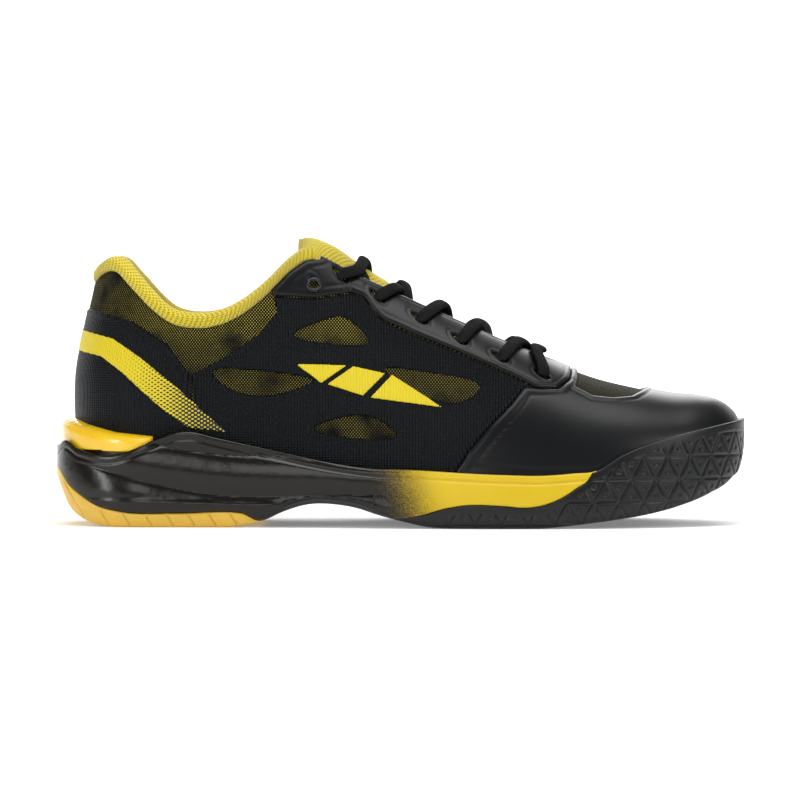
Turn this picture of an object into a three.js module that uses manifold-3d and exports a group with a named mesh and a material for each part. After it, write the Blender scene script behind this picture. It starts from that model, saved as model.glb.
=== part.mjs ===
// Low-cut court shoe for badminton, right foot, laced and standing on its sole.
// Millimetres. +X points to the toe, +Y to the inner (medial) side, +Z up.
// Every upper layer is an offset of one foot-shaped surface, cut by outlines drawn in side view.
import * as THREE from 'three';
import { mergeVertices } from 'three/addons/utils/BufferGeometryUtils.js';
import Module from 'manifold-3d';

const wasm = await Module();
wasm.setup();

// ---- driving dimensions ----
const HEEL_X = -137.8; // back of the heel at its fullest
const TOE_X = 143.5; // front of the upper
const HEEL_ROUND = 42; // length over which the heel plan rounds off
const TOE_ROUND = 72; // length over which the toe plan rounds off
const TOE_POWER = 2.2; // fullness of the toe plan
const SIDE_POWER = 2.1; // fullness of the upper's sections, sideways
const CROWN_POWER = 2.3; // fullness of the upper's sections, upwards
const GAP = 0.3; // clearance between layers that touch

const MESH_T = 0.9; // woven base of the upper
const BACKER_T = 1.0; // counter, toe puff and eyelet backers
const LINING_T = 0.8;
const CAP_T = 1.1; // moulded toe cap
const EYESTAY_T = 0.9;
const FILM_T = 0.5; // printed side and heel films
const EMBLEM_T = 0.5;
const COLLAR_T = 5.0; // collar foam
const KNIT_T = 1.0; // collar knit
const COLLAR_DEPTH = 30; // how far the padded collar reaches down inside
const COLLAR_ROLL = 4.6; // how far the knit roll stands above the shell
const SEAT_SHARE = 0.0405; // shell's top edge below the collar line, for each mm of the heel's round
const EDGE_SEAT = SEAT_SHARE * HEEL_ROUND; // a wider round has longer facets under the collar's edge

const TONGUE_SKIN = 1.1; // upright thickness
const TONGUE_FOAM = 5;
const TONGUE_WRAP = 0.8; // most of the inside width that the tongue covers
const TONGUE_FRONT = 69;
const TONGUE_BACK = -42;

const SOLE_BACK = -146;
const SOLE_FRONT = 146.4;
const SOLE_FLARE = 4.5; // sole side beyond the upper
const CUP_GAP = 1.8; // shell to the sole's cup
const RUBBER_T = 3.6; // outsole thickness
const RAND_T = 3.4; // rubber wall round the toe
const CORE_DROP = 6; // top of the midsole inside the rubber wall, below the wall's top
const SHANK_T = 2.2;
const CLIP_T = 4.2;
const BOARD_T = 1.5;
const INSOLE_T = 4.2;
const INSOLE_COVER_T = 0.8;
const INSOLE_PLAY = 2.2; // insole edge to lining

const LACE_R = 1.5;
const LACE_OUT = 3.7; // lace's underside above the shell, over the eyestay's corners
const LACE_IN = 3; // lace's upper side below the shell, under the eyelet backers
const LACE_LIFT = LACE_OUT + LACE_R;
const LACE_SINK = LACE_IN + LACE_R;
const LACE_UNDER = LACE_R - 3.1; // lower strand over the tongue, from the shell's ridge
const LACE_OVER = LACE_UNDER + 2 * LACE_R + 0.8; // upper strand, clear of the lower one
const TONGUE_DROP = LACE_SINK + LACE_R + 1.8; // tongue face under the shell's outer face, clear of the lace
const TAIL_SINK = 5.6; // lace ends, under the lining
const EYELET_R = 2.9;
const AGLET_LENGTH = 22;

// ---- curves, [x, z] or [x, value] ----
const RIDGE = [[-138, 190], [-100, 190], [-75, 178], [-60, 150], [-50, 137.5], [-40, 129.5], [-30, 121.6],
  [-20, 113.5], [-6, 104.5], [10, 95.5], [30, 85.5], [50, 76], [67, 67.8], [81, 62.4], [101, 57.4],
  [115, 54.6], [127, 53.4], [134, 51.8], [139, 48.8], [142, 45.4], [143.5, 42]];
const BED = [[-138, 27.5], [-110, 26.5], [-80, 26], [-50, 24], [-20, 20.5], [0, 18], [20, 16.3],
  [50, 15.5], [70, 16], [90, 18.5], [110, 22.5], [130, 28.5], [143.5, 34]];
const OUTER_HALF = [[-138, 35], [-85, 35.5], [-60, 36.5], [-35, 39], [-10, 43.5], [15, 48.5], [35, 51],
  [55, 50.5], [75, 48.5], [95, 46], [115, 43], [143.5, 40]];
const INNER_HALF = [[-138, 34.5], [-110, 35], [-85, 33.5], [-60, 32.5], [-35, 33.5], [-10, 38], [15, 44],
  [40, 48.5], [60, 50], [80, 49.5], [100, 47.5], [120, 44], [143.5, 40]];
const HEEL_BACK = [[20, -135], [36, -137], [50, -137.8], [62.5, -137.6], [84, -133.8], [104.5, -129.4],
  [116, -128.2], [190, -124]];
const TOPLINE = [[-129.5, 104], [-127, 106.6], [-120, 108.6], [-113.6, 102.5], [-105, 93.8], [-97, 87.6],
  [-86, 85], [-75.6, 86.4], [-66, 91], [-56, 99], [-46, 109], [-39.8, 113.2], [-33.5, 114]];
const SOLE_TOP = [[-146, 31], [-143.5, 35], [-135.5, 32.6], [-123.7, 30.2], [-117, 31.2], [-109.5, 34.2],
  [-102.2, 37], [-95.6, 39.6], [-88, 40.5], [-78.4, 38.3], [-54.6, 32.9], [-35.4, 28.7], [-16.2, 25.7],
  [9.5, 24.3], [42.8, 22.6], [59.9, 22.3], [72.7, 23.2], [81, 24], [92.9, 30.8], [110.2, 37.1],
  [129.6, 41.7], [146.4, 45]];
const SOLE_BOTTOM = [[-146, 22], [-143.1, 15.2], [-139.7, 8.4], [-136.3, 5], [-129.6, 1.7], [-120, 0],
  [-72, 0], [-66, 0.8], [-57.2, 2.9], [-49.1, 6.6], [-38.8, 9.7], [-26.3, 9.7], [-18.5, 8.4], [-9.5, 5.6],
  [0.6, 2.9], [12.9, 0.4], [20, 0], [59, 0], [72.7, 1.3], [89.5, 3.4], [103, 5.5], [116.5, 8.8],
  [130, 13.9], [140.1, 20.2], [144.5, 26], [146.4, 34]];
const THROAT_HALF = [[-60, 22], [-33, 19.5], [-10, 17], [20, 15], [50, 12.5], [58, 10]];
const TONGUE_HALF = [[-42, 24], [-34, 31], [-20, 34], [20, 36], [50, 33], [69, 30]];

// ---- outlines in side view, [x, z] ----
const HEEL_RUBBER_TOP = [[-150, 26], [-144.5, 23.9], [-140.7, 18.5], [-134.2, 13.1], [-126.8, 8.8],
  [-119.3, 6.9], [-92.5, 6], [-68.5, 6.4], [-61.5, 5.4], [-49.5, 6.3], [-46, 4]];
const FORE_RUBBER_TOP = [[-11, 3], [3.9, 4.5], [9.5, 5.8], [18.1, 8.4], [26.7, 9.9], [42.7, 9.7], [52, 9],
  [59.9, 10.1], [66.4, 12.6], [72.7, 16.5], [80.1, 23.4], [82, 28], [84, 60]];
const CLIP_TOP = [[-150, 49], [-139.7, 45.5], [-131.1, 42.6], [-119.3, 39.6], [-103, 37.9]];
const CLIP_BOTTOM = [[-103, 37.7], [-110, 34.8], [-117, 31.8], [-123.7, 30.8], [-135.5, 33.4], [-143, 40],
  [-150, 42]];
const EYESTAY_EDGE = [[-66, 97], [-52.5, 97], [-36, 96.2], [-20, 98.5], [-15, 96.5], [-11, 90.6],
  [-7, 86.8], [6, 81], [25, 73.3], [42, 65.8], [50, 62.2], [57, 58.4], [66, 58], [71, 61.5], [72.5, 66],
  [73, 80]];
const CAP_SEAM = [[21, 10], [23.4, 24.4], [29, 33], [38, 43.5], [46, 51.5], [51.5, 58.6]];
const VAMP_WINDOW = [[76, 80], [75.4, 66], [73.6, 58.2], [80.7, 54.6], [89.1, 53.6], [97, 54], [104, 57],
  [106, 80]];
const HEEL_FILM = [[-150, 92], [-130, 91], [-112, 86], [-98, 77], [-88.6, 65], [-87, 50], [-87, 30]];
const QUARTER_BACK = [[-86, 30], [-86, 50], [-87.4, 64], [-72, 72], [-58, 82], [-51.5, 90], [-53, 96.4]];
const WINDOWS = [
  [[-80, 66.4], [-68, 66.6], [-47, 64.4], [-34, 62], [-44, 57.6], [-61, 54], [-76, 60]],
  [[-50, 79.6], [-31, 87.4], [-23, 89], [-11.5, 77.6], [-19, 75.6]],
  [[-38, 40.4], [-33, 44], [-19, 47.6], [-9, 46], [1.4, 37], [-17, 37]],
  [[-8, 67.6], [5.6, 66], [35, 61.6], [31, 55], [21.6, 51.6], [9, 55.4], [-3, 62.4]],
];
const EMBLEM = [
  [[-44, 68.6], [-22, 68], [-33, 60.4]],
  [[-19.6, 67.6], [-6, 64.6], [-15.5, 55.2], [-30.6, 60]],
  [[-3.4, 64], [18, 50.4], [-12.6, 54.4]],
];
const HEEL_BAND = [[[-139, 84.5], [-120, 80], [-108, 71.6], [-93.5, 58], [-88.4, 49], [-96, 50.6],
  [-107, 60], [-118, 69], [-131, 74.4], [-139, 75.6]],
[[-139, 71.4], [-128, 69.6], [-116, 62.4], [-103, 50], [-106.6, 50], [-118, 59.6], [-129, 66.4],
  [-139, 68.4]]];
const EYELETS = [[59.6, 63.2], [41.5, 70.8], [24.7, 78.4], [7.8, 87.2], [-9.9, 96.5], [-25.5, 105.6]];
const SPARE_EYELET = [-36.4, 101.2];
const COUNTER = [[-150, 20], [-150, 82], [-128, 80], [-110, 66], [-90, 50], [-74, 42], [-72, 20]];

// ---- curve helpers ----
// Height of a smooth curve through [x, z] points: cubic between points, slopes from neighbours.
function at(points, x) {
  const last = points.length - 1;
  const clamped = Math.min(Math.max(x, points[0][0]), points[last][0]);
  let i = 0;
  while (i < last - 1 && clamped > points[i + 1][0]) i += 1;
  const step = (k) => points[k + 1][0] - points[k][0];
  const slope = (k) => (points[k + 1][1] - points[k][1]) / step(k);
  const tangent = (k) => {
    if (k === 0) return slope(0);
    if (k === last) return slope(last - 1);
    return (slope(k - 1) * step(k) + slope(k) * step(k - 1)) / (step(k - 1) + step(k));
  };
  const h = step(i);
  const t = (clamped - points[i][0]) / h;
  const t2 = t * t;
  const t3 = t2 * t;
  return (2 * t3 - 3 * t2 + 1) * points[i][1] + (t3 - 2 * t2 + t) * h * tangent(i)
    + (3 * t2 - 2 * t3) * points[i + 1][1] + (t3 - t2) * h * tangent(i + 1);
}

const rounded = (t, power) => (t >= 1 ? 1 : (1 - (1 - Math.max(t, 0)) ** power) ** (1 / power));
const smoothstep = (a, b, x) => {
  const t = Math.min(Math.max((x - a) / (b - a), 0), 1);
  return t * t * (3 - 2 * t);
};

// ---- the foot-shaped surface ----
// A station is a place along the plan: x along the shoe, side -1 outer or +1 inner, and turn, the
// sine that takes the half width to nothing at the back of the heel.
function station(x, side) {
  const fromHeel = (x - HEEL_X) / HEEL_ROUND;
  const turn = fromHeel >= 1 ? 1 : Math.sqrt(Math.max(0, 1 - (1 - fromHeel) ** 2));
  return { x, side, turn };
}

function halfWidth(x, side) {
  return at(side < 0 ? OUTER_HALF : INNER_HALF, x) * rounded((TOE_X - x) / TOE_ROUND, TOE_POWER);
}

// Point at angle a (0 at the feather edge, PI/2 on the ridge) of the section at a station.
function surface({ x, side, turn }, a) {
  const bed = at(BED, x);
  const rise = at(RIDGE, x) - bed;
  const z = bed + rise * Math.sin(a) ** (2 / CROWN_POWER);
  const y = side * turn * halfWidth(x, side) * Math.max(Math.cos(a), 0) ** (2 / SIDE_POWER);
  const lean = (at(HEEL_BACK, z) - HEEL_X) * (1 - smoothstep(-125, -70, x));
  return new THREE.Vector3(x + lean, y, z);
}

// Angle at which the section at x reaches height z.
function angleAt(x, z) {
  const bed = at(BED, x);
  const share = Math.min(Math.max((z - bed) / (at(RIDGE, x) - bed), 0), 1);
  return Math.asin(share ** (CROWN_POWER / 2));
}

// Angle at which the section at x is y wide.
function angleOut(x, side, y) {
  const share = Math.min(Math.abs(y) / halfWidth(x, side), 1);
  return Math.acos(share ** (SIDE_POWER / 2));
}

function normal(place, a) {
  if (a > Math.PI / 2 - 0.01) {
    const slope = at(RIDGE, place.x + 0.5) - at(RIDGE, place.x - 0.5);
    return new THREE.Vector3(-slope, 0, 1).normalize();
  }
  if (place.turn < 0.001) {
    const up = surface(place, a + 0.01).sub(surface(place, a));
    return new THREE.Vector3(-up.z, 0, up.x).normalize();
  }
  const a0 = Math.min(Math.max(a, 0.06), Math.PI / 2 - 0.03);
  const step = Math.min(0.4, (TOE_X - place.x) * 0.4, (place.x - HEEL_X) * 0.4);
  const ahead = surface(station(place.x + step, place.side), a0);
  const along = ahead.sub(surface(station(place.x - step, place.side), a0));
  const up = surface(place, a0 + 0.02).sub(surface(place, a0 - 0.02));
  const n = along.cross(up).normalize();
  return place.side < 0 ? n : n.negate();
}

function offset(place, a, distance) {
  return surface(place, a).addScaledVector(normal(place, a), distance);
}

// ---- solids ----
// Closed geometry from loose triangles: corners are merged and collapsed triangles dropped.
function weld(triangles) {
  const ids = new Map();
  const positions = [];
  const indices = [];
  const idOf = (p) => {
    const key = `${Math.round(p.x * 2000)},${Math.round(p.y * 2000)},${Math.round(p.z * 2000)}`;
    if (!ids.has(key)) {
      ids.set(key, positions.length / 3);
      positions.push(p.x, p.y, p.z);
    }
    return ids.get(key);
  };
  for (const triangle of triangles) {
    const [a, b, c] = triangle.map(idOf);
    if (a !== b && b !== c && c !== a) indices.push(a, b, c);
  }
  const geometry = new THREE.BufferGeometry();
  geometry.setAttribute('position', new THREE.Float32BufferAttribute(positions, 3));
  geometry.setIndex(indices);
  return geometry;
}

function outwards(geometry) {
  const p = geometry.getAttribute('position');
  const index = geometry.getIndex().array;
  let volume = 0;
  const v = [0, 1, 2].map(() => new THREE.Vector3());
  for (let i = 0; i < index.length; i += 3) {
    v.forEach((corner, k) => corner.fromBufferAttribute(p, index[i + k]));
    volume += v[0].dot(v[1].clone().cross(v[2]));
  }
  if (volume < 0) {
    for (let i = 0; i < index.length; i += 3) [index[i], index[i + 1]] = [index[i + 1], index[i]];
  }
  return geometry;
}

// A closed 2D profile carried through a row of places: place(k, point) puts a profile point in space.
function sweep(profile, count, place) {
  const points = profile.map(([u, v]) => new THREE.Vector2(u, v));
  const caps = THREE.ShapeUtils.triangulateShape(points, []);
  const rings = Array.from({ length: count }, (_, k) => points.map((p) => place(k, p)));
  const clockwise = THREE.ShapeUtils.isClockWise(points);
  const triangles = [];
  for (let k = 0; k < count - 1; k += 1) {
    for (let i = 0; i < points.length; i += 1) {
      const j = (i + 1) % points.length;
      const [a, b, c, d] = [rings[k][i], rings[k][j], rings[k + 1][j], rings[k + 1][i]];
      // the shorter diagonal, so that stacked layers fold along the same lines
      if (a.distanceTo(c) < b.distanceTo(d)) triangles.push([a, b, c], [a, c, d]);
      else triangles.push([a, b, d], [b, c, d]);
    }
  }
  for (const [a, b, c] of caps) {
    const [start, end] = [rings[0], rings[count - 1]];
    triangles.push(clockwise ? [start[a], start[b], start[c]] : [start[c], start[b], start[a]]);
    triangles.push(clockwise ? [end[c], end[b], end[a]] : [end[a], end[b], end[c]]);
  }
  return outwards(weld(triangles));
}

function solid(geometry) {
  const bare = new THREE.BufferGeometry();
  bare.setAttribute('position', geometry.getAttribute('position').clone());
  if (geometry.getIndex()) bare.setIndex(geometry.getIndex().clone());
  const merged = mergeVertices(bare, 1e-4);
  return new wasm.Manifold(new wasm.Mesh({
    numProp: 3,
    vertProperties: new Float32Array(merged.getAttribute('position').array),
    triVerts: new Uint32Array(merged.getIndex().array),
  }));
}

function geometryOf(manifold) {
  const mesh = manifold.getMesh();
  const geometry = new THREE.BufferGeometry();
  geometry.setAttribute('position', new THREE.BufferAttribute(new Float32Array(mesh.vertProperties), 3));
  geometry.setIndex(new THREE.BufferAttribute(new Uint32Array(mesh.triVerts), 1));
  return geometry;
}

// Prism of a side-view outline from y = from to y = to.
function sidePrism(outline, from = -90, to = 90) {
  const shape = new THREE.Shape(outline.map(([x, z]) => new THREE.Vector2(x, z)));
  const geometry = new THREE.ExtrudeGeometry(shape, { depth: to - from, bevelEnabled: false });
  geometry.rotateX(Math.PI / 2);
  geometry.translate(0, to, 0);
  return solid(geometry);
}

// Prism of a plan outline from z = from to z = to.
function planPrism(outline, from, to) {
  const shape = new THREE.Shape(outline.map(([x, y]) => new THREE.Vector2(x, y)));
  const geometry = new THREE.ExtrudeGeometry(shape, { depth: to - from, bevelEnabled: false });
  geometry.translate(0, 0, from);
  return solid(geometry);
}

// ---- the last: the solid inside a given offset of the surface ----
const STATION_X = [143, 139.5, 132, 119, 102, 82, 60, 37, 14, -10, -34, -57, -78, -96];
const HEEL_TURNS = [70, 47, 24, 0];
const ROW_ANGLES = [0, 12, 24, 38, 54, 72, 90].map(THREE.MathUtils.degToRad);

function placesOf(side) {
  const sides = STATION_X.map((x) => station(x, side));
  const heel = HEEL_TURNS.map((degrees) => {
    const turn = THREE.MathUtils.degToRad(degrees);
    return { x: HEEL_X + HEEL_ROUND * (1 - Math.cos(turn)), side, turn: Math.sin(turn) };
  });
  return [...sides, ...heel];
}

function last(distance, drop) {
  const columns = [-1, 1].map((side) => placesOf(side).map((place) => {
    const column = ROW_ANGLES.map((a) => offset(place, a, distance));
    const foot = column[0].clone().setZ(at(BED, place.x) - drop);
    return [foot, ...column];
  }));
  const [outer, inner] = columns;
  const triangles = [];
  const quad = (a, b, c, d) => triangles.push([a, b, c], [a, c, d]);
  const rows = outer[0].length - 1;
  for (let k = 0; k < outer.length - 1; k += 1) {
    for (let r = 0; r < rows; r += 1) {
      quad(outer[k][r], outer[k][r + 1], outer[k + 1][r + 1], outer[k + 1][r]);
      quad(inner[k][r], inner[k + 1][r], inner[k + 1][r + 1], inner[k][r + 1]);
    }
    quad(outer[k][0], outer[k + 1][0], inner[k + 1][0], inner[k][0]);
  }
  for (let r = 0; r < rows; r += 1) {
    quad(outer[0][r], inner[0][r], inner[0][r + 1], outer[0][r + 1]);
  }
  return solid(outwards(weld(triangles)));
}

// Skin between two offsets of the surface, open below.
function skin(inside, outside, drop = BOARD_T) {
  return last(outside, drop).subtract(last(inside, drop + 6));
}

// ---- cutters ----
const SKY = 260;
const lifted = (points, dx, dz) => points.map(([x, z]) => [x + dx, z + dz]);

// Everything above the collar's top line, lowered by down.
function collarCut(down = 0) {
  return sidePrism([[-175, 104 - down], ...lifted(TOPLINE, 0, -down), [-29, 113.4 - down], [-26, 117 - down],
    [-24, SKY], [-175, SKY]]);
}

// The throat: a slot along the instep with a round front end, widened by extra.
function throatCut(extra = 0) {
  const side = THROAT_HALF.map(([x, half]) => [x, half + extra]);
  const tip = [[63, 6 + extra], [65 + extra, 0], [63, -6 - extra]];
  return planPrism([...side, ...tip, ...side.toReversed().map(([x, y]) => [x, -y])],
    40, SKY);
}

// A pin through the shell at a side-view point, along the surface's own normal.
function eyeletPin([x, z], side, radius) {
  const place = station(x, side);
  const a = angleAt(x, z);
  const direction = normal(place, a);
  const geometry = new THREE.CylinderGeometry(radius, radius, 30, 6);
  geometry.rotateX(Math.PI / 2);
  const turn = new THREE.Quaternion().setFromUnitVectors(new THREE.Vector3(0, 0, 1), direction);
  geometry.applyQuaternion(turn);
  const middle = surface(place, a);
  geometry.translate(middle.x, middle.y, middle.z);
  return solid(geometry);
}

const ALL_EYELETS = [...EYELETS, SPARE_EYELET];
const punched = (body, sides = [-1, 1]) => sides.reduce((left, side) => ALL_EYELETS.reduce(
  (rest, eyelet) => rest.subtract(eyeletPin(eyelet, side, EYELET_R)), left), body);

const EYESTAY_REGION = (down) => [...lifted(EYESTAY_EDGE, 0, down), [73, SKY], [-66, SKY]];
const half = (side) => (side < 0 ? [-90, -0.5] : [0.5, 90]);
const SOLE_CUP = (inset) => [[-175, -20], [-175, at(SOLE_TOP, -146) - inset],
  ...lifted(SOLE_TOP, 0, -inset), [175, 45 - inset], [175, -20]];

// ---- pieces ----
const rubber = { color: 0x1b1c1f, roughness: 0.75, metalness: 0 };
const gum = { color: 0xe0a020, roughness: 0.5, metalness: 0 };
const yellow = { color: 0xf0c81e, roughness: 0.8, metalness: 0 };
const black = { color: 0x15171b, roughness: 0.55, metalness: 0 };
const gloss = { color: 0x101114, roughness: 0.25, metalness: 0 };
const lace = { color: 0x18191c, roughness: 0.9, metalness: 0 };
const board = { color: 0xcfc9bd, roughness: 0.9, metalness: 0 };

const shoe = new THREE.Group();
function add(name, geometry, look) {
  const mesh = new THREE.Mesh(geometry, new THREE.MeshStandardMaterial(look));
  mesh.name = name;
  shoe.add(mesh);
}

function addUpper() {
  const collar = collarCut();
  const throat = throatCut();
  const outerMesh = skin(-MESH_T, 0).subtract(collarCut(EDGE_SEAT)).subtract(throat);
  add('upper_mesh', geometryOf(punched(outerMesh)), black);

  const backer = -MESH_T - GAP;
  const backerIn = backer - BACKER_T;
  const backerSkin = skin(backerIn, backer);
  const counter = backerSkin.intersect(sidePrism(COUNTER));
  add('heel_counter', geometryOf(counter), board);
  const puff = backerSkin.intersect(sidePrism([[98, 0], [92, 70], [160, 70], [160, 0]]));
  add('toe_puff', geometryOf(puff), board);

  const liningOut = backerIn - GAP;
  const underCollar = collarCut(COLLAR_DEPTH + 3);
  const noEyestay = sidePrism(EYESTAY_REGION(-1.5)).intersect(sidePrism([[-70, 0], [-70, SKY], [66, SKY],
    [66, 0]]));
  const lining = skin(liningOut - LINING_T, liningOut).subtract(underCollar).subtract(noEyestay);
  add('lining', geometryOf(lining), black);

  for (const [side, word] of [[-1, 'lateral'], [1, 'medial']]) {
    const [from, to] = half(side);
    const region = sidePrism(EYESTAY_REGION(0), from, to);
    const slot = throatCut(-0.6);
    const stay = skin(GAP, GAP + EYESTAY_T).intersect(region).subtract(collar).subtract(slot);
    add(`eyestay_${word}`, geometryOf(punched(stay, [side])), black);
    const backing = backerSkin.intersect(sidePrism(EYESTAY_REGION(-0.8), from, to))
      .subtract(collarCut(1)).subtract(throatCut(0))
      .subtract(sidePrism([[-80, 0], [-80, SKY], [-44, SKY], [-44, 0]]))
      .subtract(sidePrism([[62, 0], [62, SKY], [90, SKY], [90, 0]]));
    add(`eyelet_backer_${word}`, geometryOf(punched(backing, [side])), board);

    const filmRegion = [...QUARTER_BACK,
      ...lifted(EYESTAY_EDGE.slice(1, 11), 0, -GAP - 0.23),
      ...lifted(CAP_SEAM, -0.5, 0).reverse()];
    let film = skin(GAP, GAP + FILM_T).intersect(sidePrism(filmRegion, from, to))
      .subtract(sidePrism(SOLE_CUP(3)));
    for (const window of WINDOWS) film = film.subtract(sidePrism(window, from, to));
    add(`quarter_film_${word}`, geometryOf(film), gloss);

    const emblemIn = 2 * GAP + FILM_T;
    const emblemSkin = skin(emblemIn, emblemIn + EMBLEM_T);
    EMBLEM.forEach((outline, i) => {
      const kite = emblemSkin.intersect(sidePrism(outline, from, to));
      add(`emblem_${word}_${i + 1}`, geometryOf(kite), yellow);
    });
  }

  const heelFilm = [...HEEL_FILM, [-150, 20]];
  add('heel_film', geometryOf(skin(GAP, GAP + FILM_T).intersect(sidePrism(heelFilm))
    .subtract(sidePrism(SOLE_CUP(3)))), gloss);
  const bandIn = 2 * GAP + FILM_T;
  HEEL_BAND.forEach((outline, i) => {
    const band = skin(bandIn, bandIn + EMBLEM_T).intersect(sidePrism(outline));
    add(`heel_band_${i + 1}`, geometryOf(band), yellow);
  });

  const capRegion = [...CAP_SEAM, ...lifted(EYESTAY_EDGE.slice(11), 0.5, -0.5),
    [74, SKY], [175, SKY], [175, 0], [21, 0]];
  const cap = skin(GAP, GAP + CAP_T).intersect(sidePrism(capRegion))
    .subtract(sidePrism(VAMP_WINDOW)).subtract(throatCut(-0.6));
  add('toe_cap', geometryOf(cap), black);
}

const backerOut = () => -MESH_T - GAP - BACKER_T;

// Stations along the collar, from its outer front end round the heel to its inner front end.
function collarPlaces() {
  const one = (side) => placesOf(side).filter(({ x }) => x < -41);
  const outer = [station(-46, -1), ...one(-1).filter(({ x }) => x < -50)];
  const inner = [station(-46, 1), ...one(1).filter(({ x }) => x < -50)].reverse();
  return [...outer, ...inner.slice(1)];
}

// Height of the top line at a station; the surface leans, so its x there is found by repeating.
function toplineAt(place) {
  let z = 106;
  for (let i = 0; i < 4; i += 1) {
    const { x } = surface(place, angleAt(place.x, z));
    z = at(TOPLINE, Math.max(x, TOPLINE[0][0]));
  }
  return z;
}

function addCollar() {
  const places = collarPlaces();
  const thin = (x) => 0.62 + 0.38 * smoothstep(-50, -75, x);
  const ring = (profile) => sweep(profile, places.length, (k, { x: off, y: dz }) => {
    const place = places[k];
    const z = toplineAt(place) + dz;
    const base = backerOut();
    const taper = off < base ? base + (off - base) * thin(place.x) : off;
    return offset(place, angleAt(place.x, z), taper);
  });
  const foamOut = backerOut() - 2 * GAP;
  const foamIn = foamOut - COLLAR_T;
  const levels = [0.1, 0.37, 0.63, 0.9].map((share) => -share * COLLAR_DEPTH);
  add('collar_foam', ring([[foamOut, -1], [foamIn + 1.5, 1.4], ...levels.map((dz) => [foamIn, dz]),
    ...levels.toReversed().map((dz) => [foamOut, dz])]), yellow);
  const knitIn = foamIn - 3.5 * GAP - KNIT_T;
  const roll = COLLAR_ROLL;
  add('collar_lining', ring([[0.1, 0.6], [0.3, 2.6], [-1.6, roll], [-4.4, roll + 0.6], [-7, roll - 0.8],
    [knitIn, 0], ...levels.map((dz) => [knitIn, dz]),
    ...levels.toReversed().map((dz) => [knitIn + KNIT_T, dz]), [knitIn + KNIT_T, 0],
    [-6.3, roll - 2], [-4.4, roll - 0.7], [-2.2, roll - 1.4], [-1, 2.2], [-1, 0.6]]), yellow);
}

// The tongue's layers lie straight under one another, so they thin towards its steep edges.
function addTongue() {
  const count = 10;
  const across = 6;
  const layer = (outside, inside) => {
    const profile = [];
    for (let j = 0; j <= across; j += 1) profile.push([j / across, outside]);
    for (let j = across; j >= 0; j -= 1) profile.push([j / across, inside]);
    return sweep(profile, count, (k, { x: share, y: depth }) => {
      const t = k / (count - 1);
      const x = TONGUE_FRONT + (TONGUE_BACK - TONGUE_FRONT) * t;
      const side = share < 0.5 ? -1 : 1;
      const reach = halfWidth(x, side) - TONGUE_DROP;
      const y = (2 * share - 1) * Math.min(at(TONGUE_HALF, x), TONGUE_WRAP * reach);
      const arch = (1 - Math.abs(y / reach) ** SIDE_POWER) ** (1 / CROWN_POWER);
      const bed = at(BED, x);
      return new THREE.Vector3(x, y, bed + (at(RIDGE, x) - bed) * arch - TONGUE_DROP - depth);
    });
  };
  const foam = TONGUE_SKIN + 1.5 * GAP;
  const back = foam + TONGUE_FOAM + 1.5 * GAP;
  add('tongue_face', layer(0, TONGUE_SKIN), yellow);
  add('tongue_foam', layer(foam, foam + TONGUE_FOAM), yellow);
  add('tongue_lining', layer(back, back + TONGUE_SKIN), yellow);
}

// Half width of the sole in plan.
function soleHalf(x, side) {
  const reach = at(side < 0 ? OUTER_HALF : INNER_HALF, x) + SOLE_FLARE;
  const heel = rounded((x - SOLE_BACK) / HEEL_ROUND, 2);
  return reach * heel * rounded((SOLE_FRONT - x) / TOE_ROUND, TOE_POWER);
}

// Share of the half width at heights from the bottom (0) to the top (1) of the sole's side.
const SIDE_SHAPE = [[0, 0.91], [0.1, 0.965], [0.4, 1], [0.75, 0.99], [1, 0.965]];
const SOLE_STATIONS = [-145.6, -142, -136, -130, -123.7, -117, -110, -102, -88, -74, -64, -49, -38, -26,
  -12, 2, 20, 44, 62, 80, 96, 112, 126, 136, 142, 145, 146.1];

function soleBlock(inset, lift) {
  const stations = SOLE_STATIONS.filter((x) => x > SOLE_BACK + inset && x < SOLE_FRONT - inset);
  const outline = [...SIDE_SHAPE.map(([h]) => [h, -1]), ...SIDE_SHAPE.map(([h]) => [h, 1]).reverse()];
  const profile = outline.map(([h, side]) => [side * (1 + h), h]);
  return solid(sweep(profile, stations.length, (k, { x, y }) => {
    const side = x < 0 ? -1 : 1;
    const along = stations[k];
    const low = Math.max(at(SOLE_BOTTOM, along), 0) + lift;
    const z = low + (at(SOLE_TOP, along) - (lift > 0 ? CORE_DROP : 0) - low) * y;
    const share = SIDE_SHAPE.find(([h]) => Math.abs(h - y) < 1e-6)[1];
    return new THREE.Vector3(along, side * Math.max(soleHalf(along, side) * share - inset, 0.8), z);
  }));
}

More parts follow.
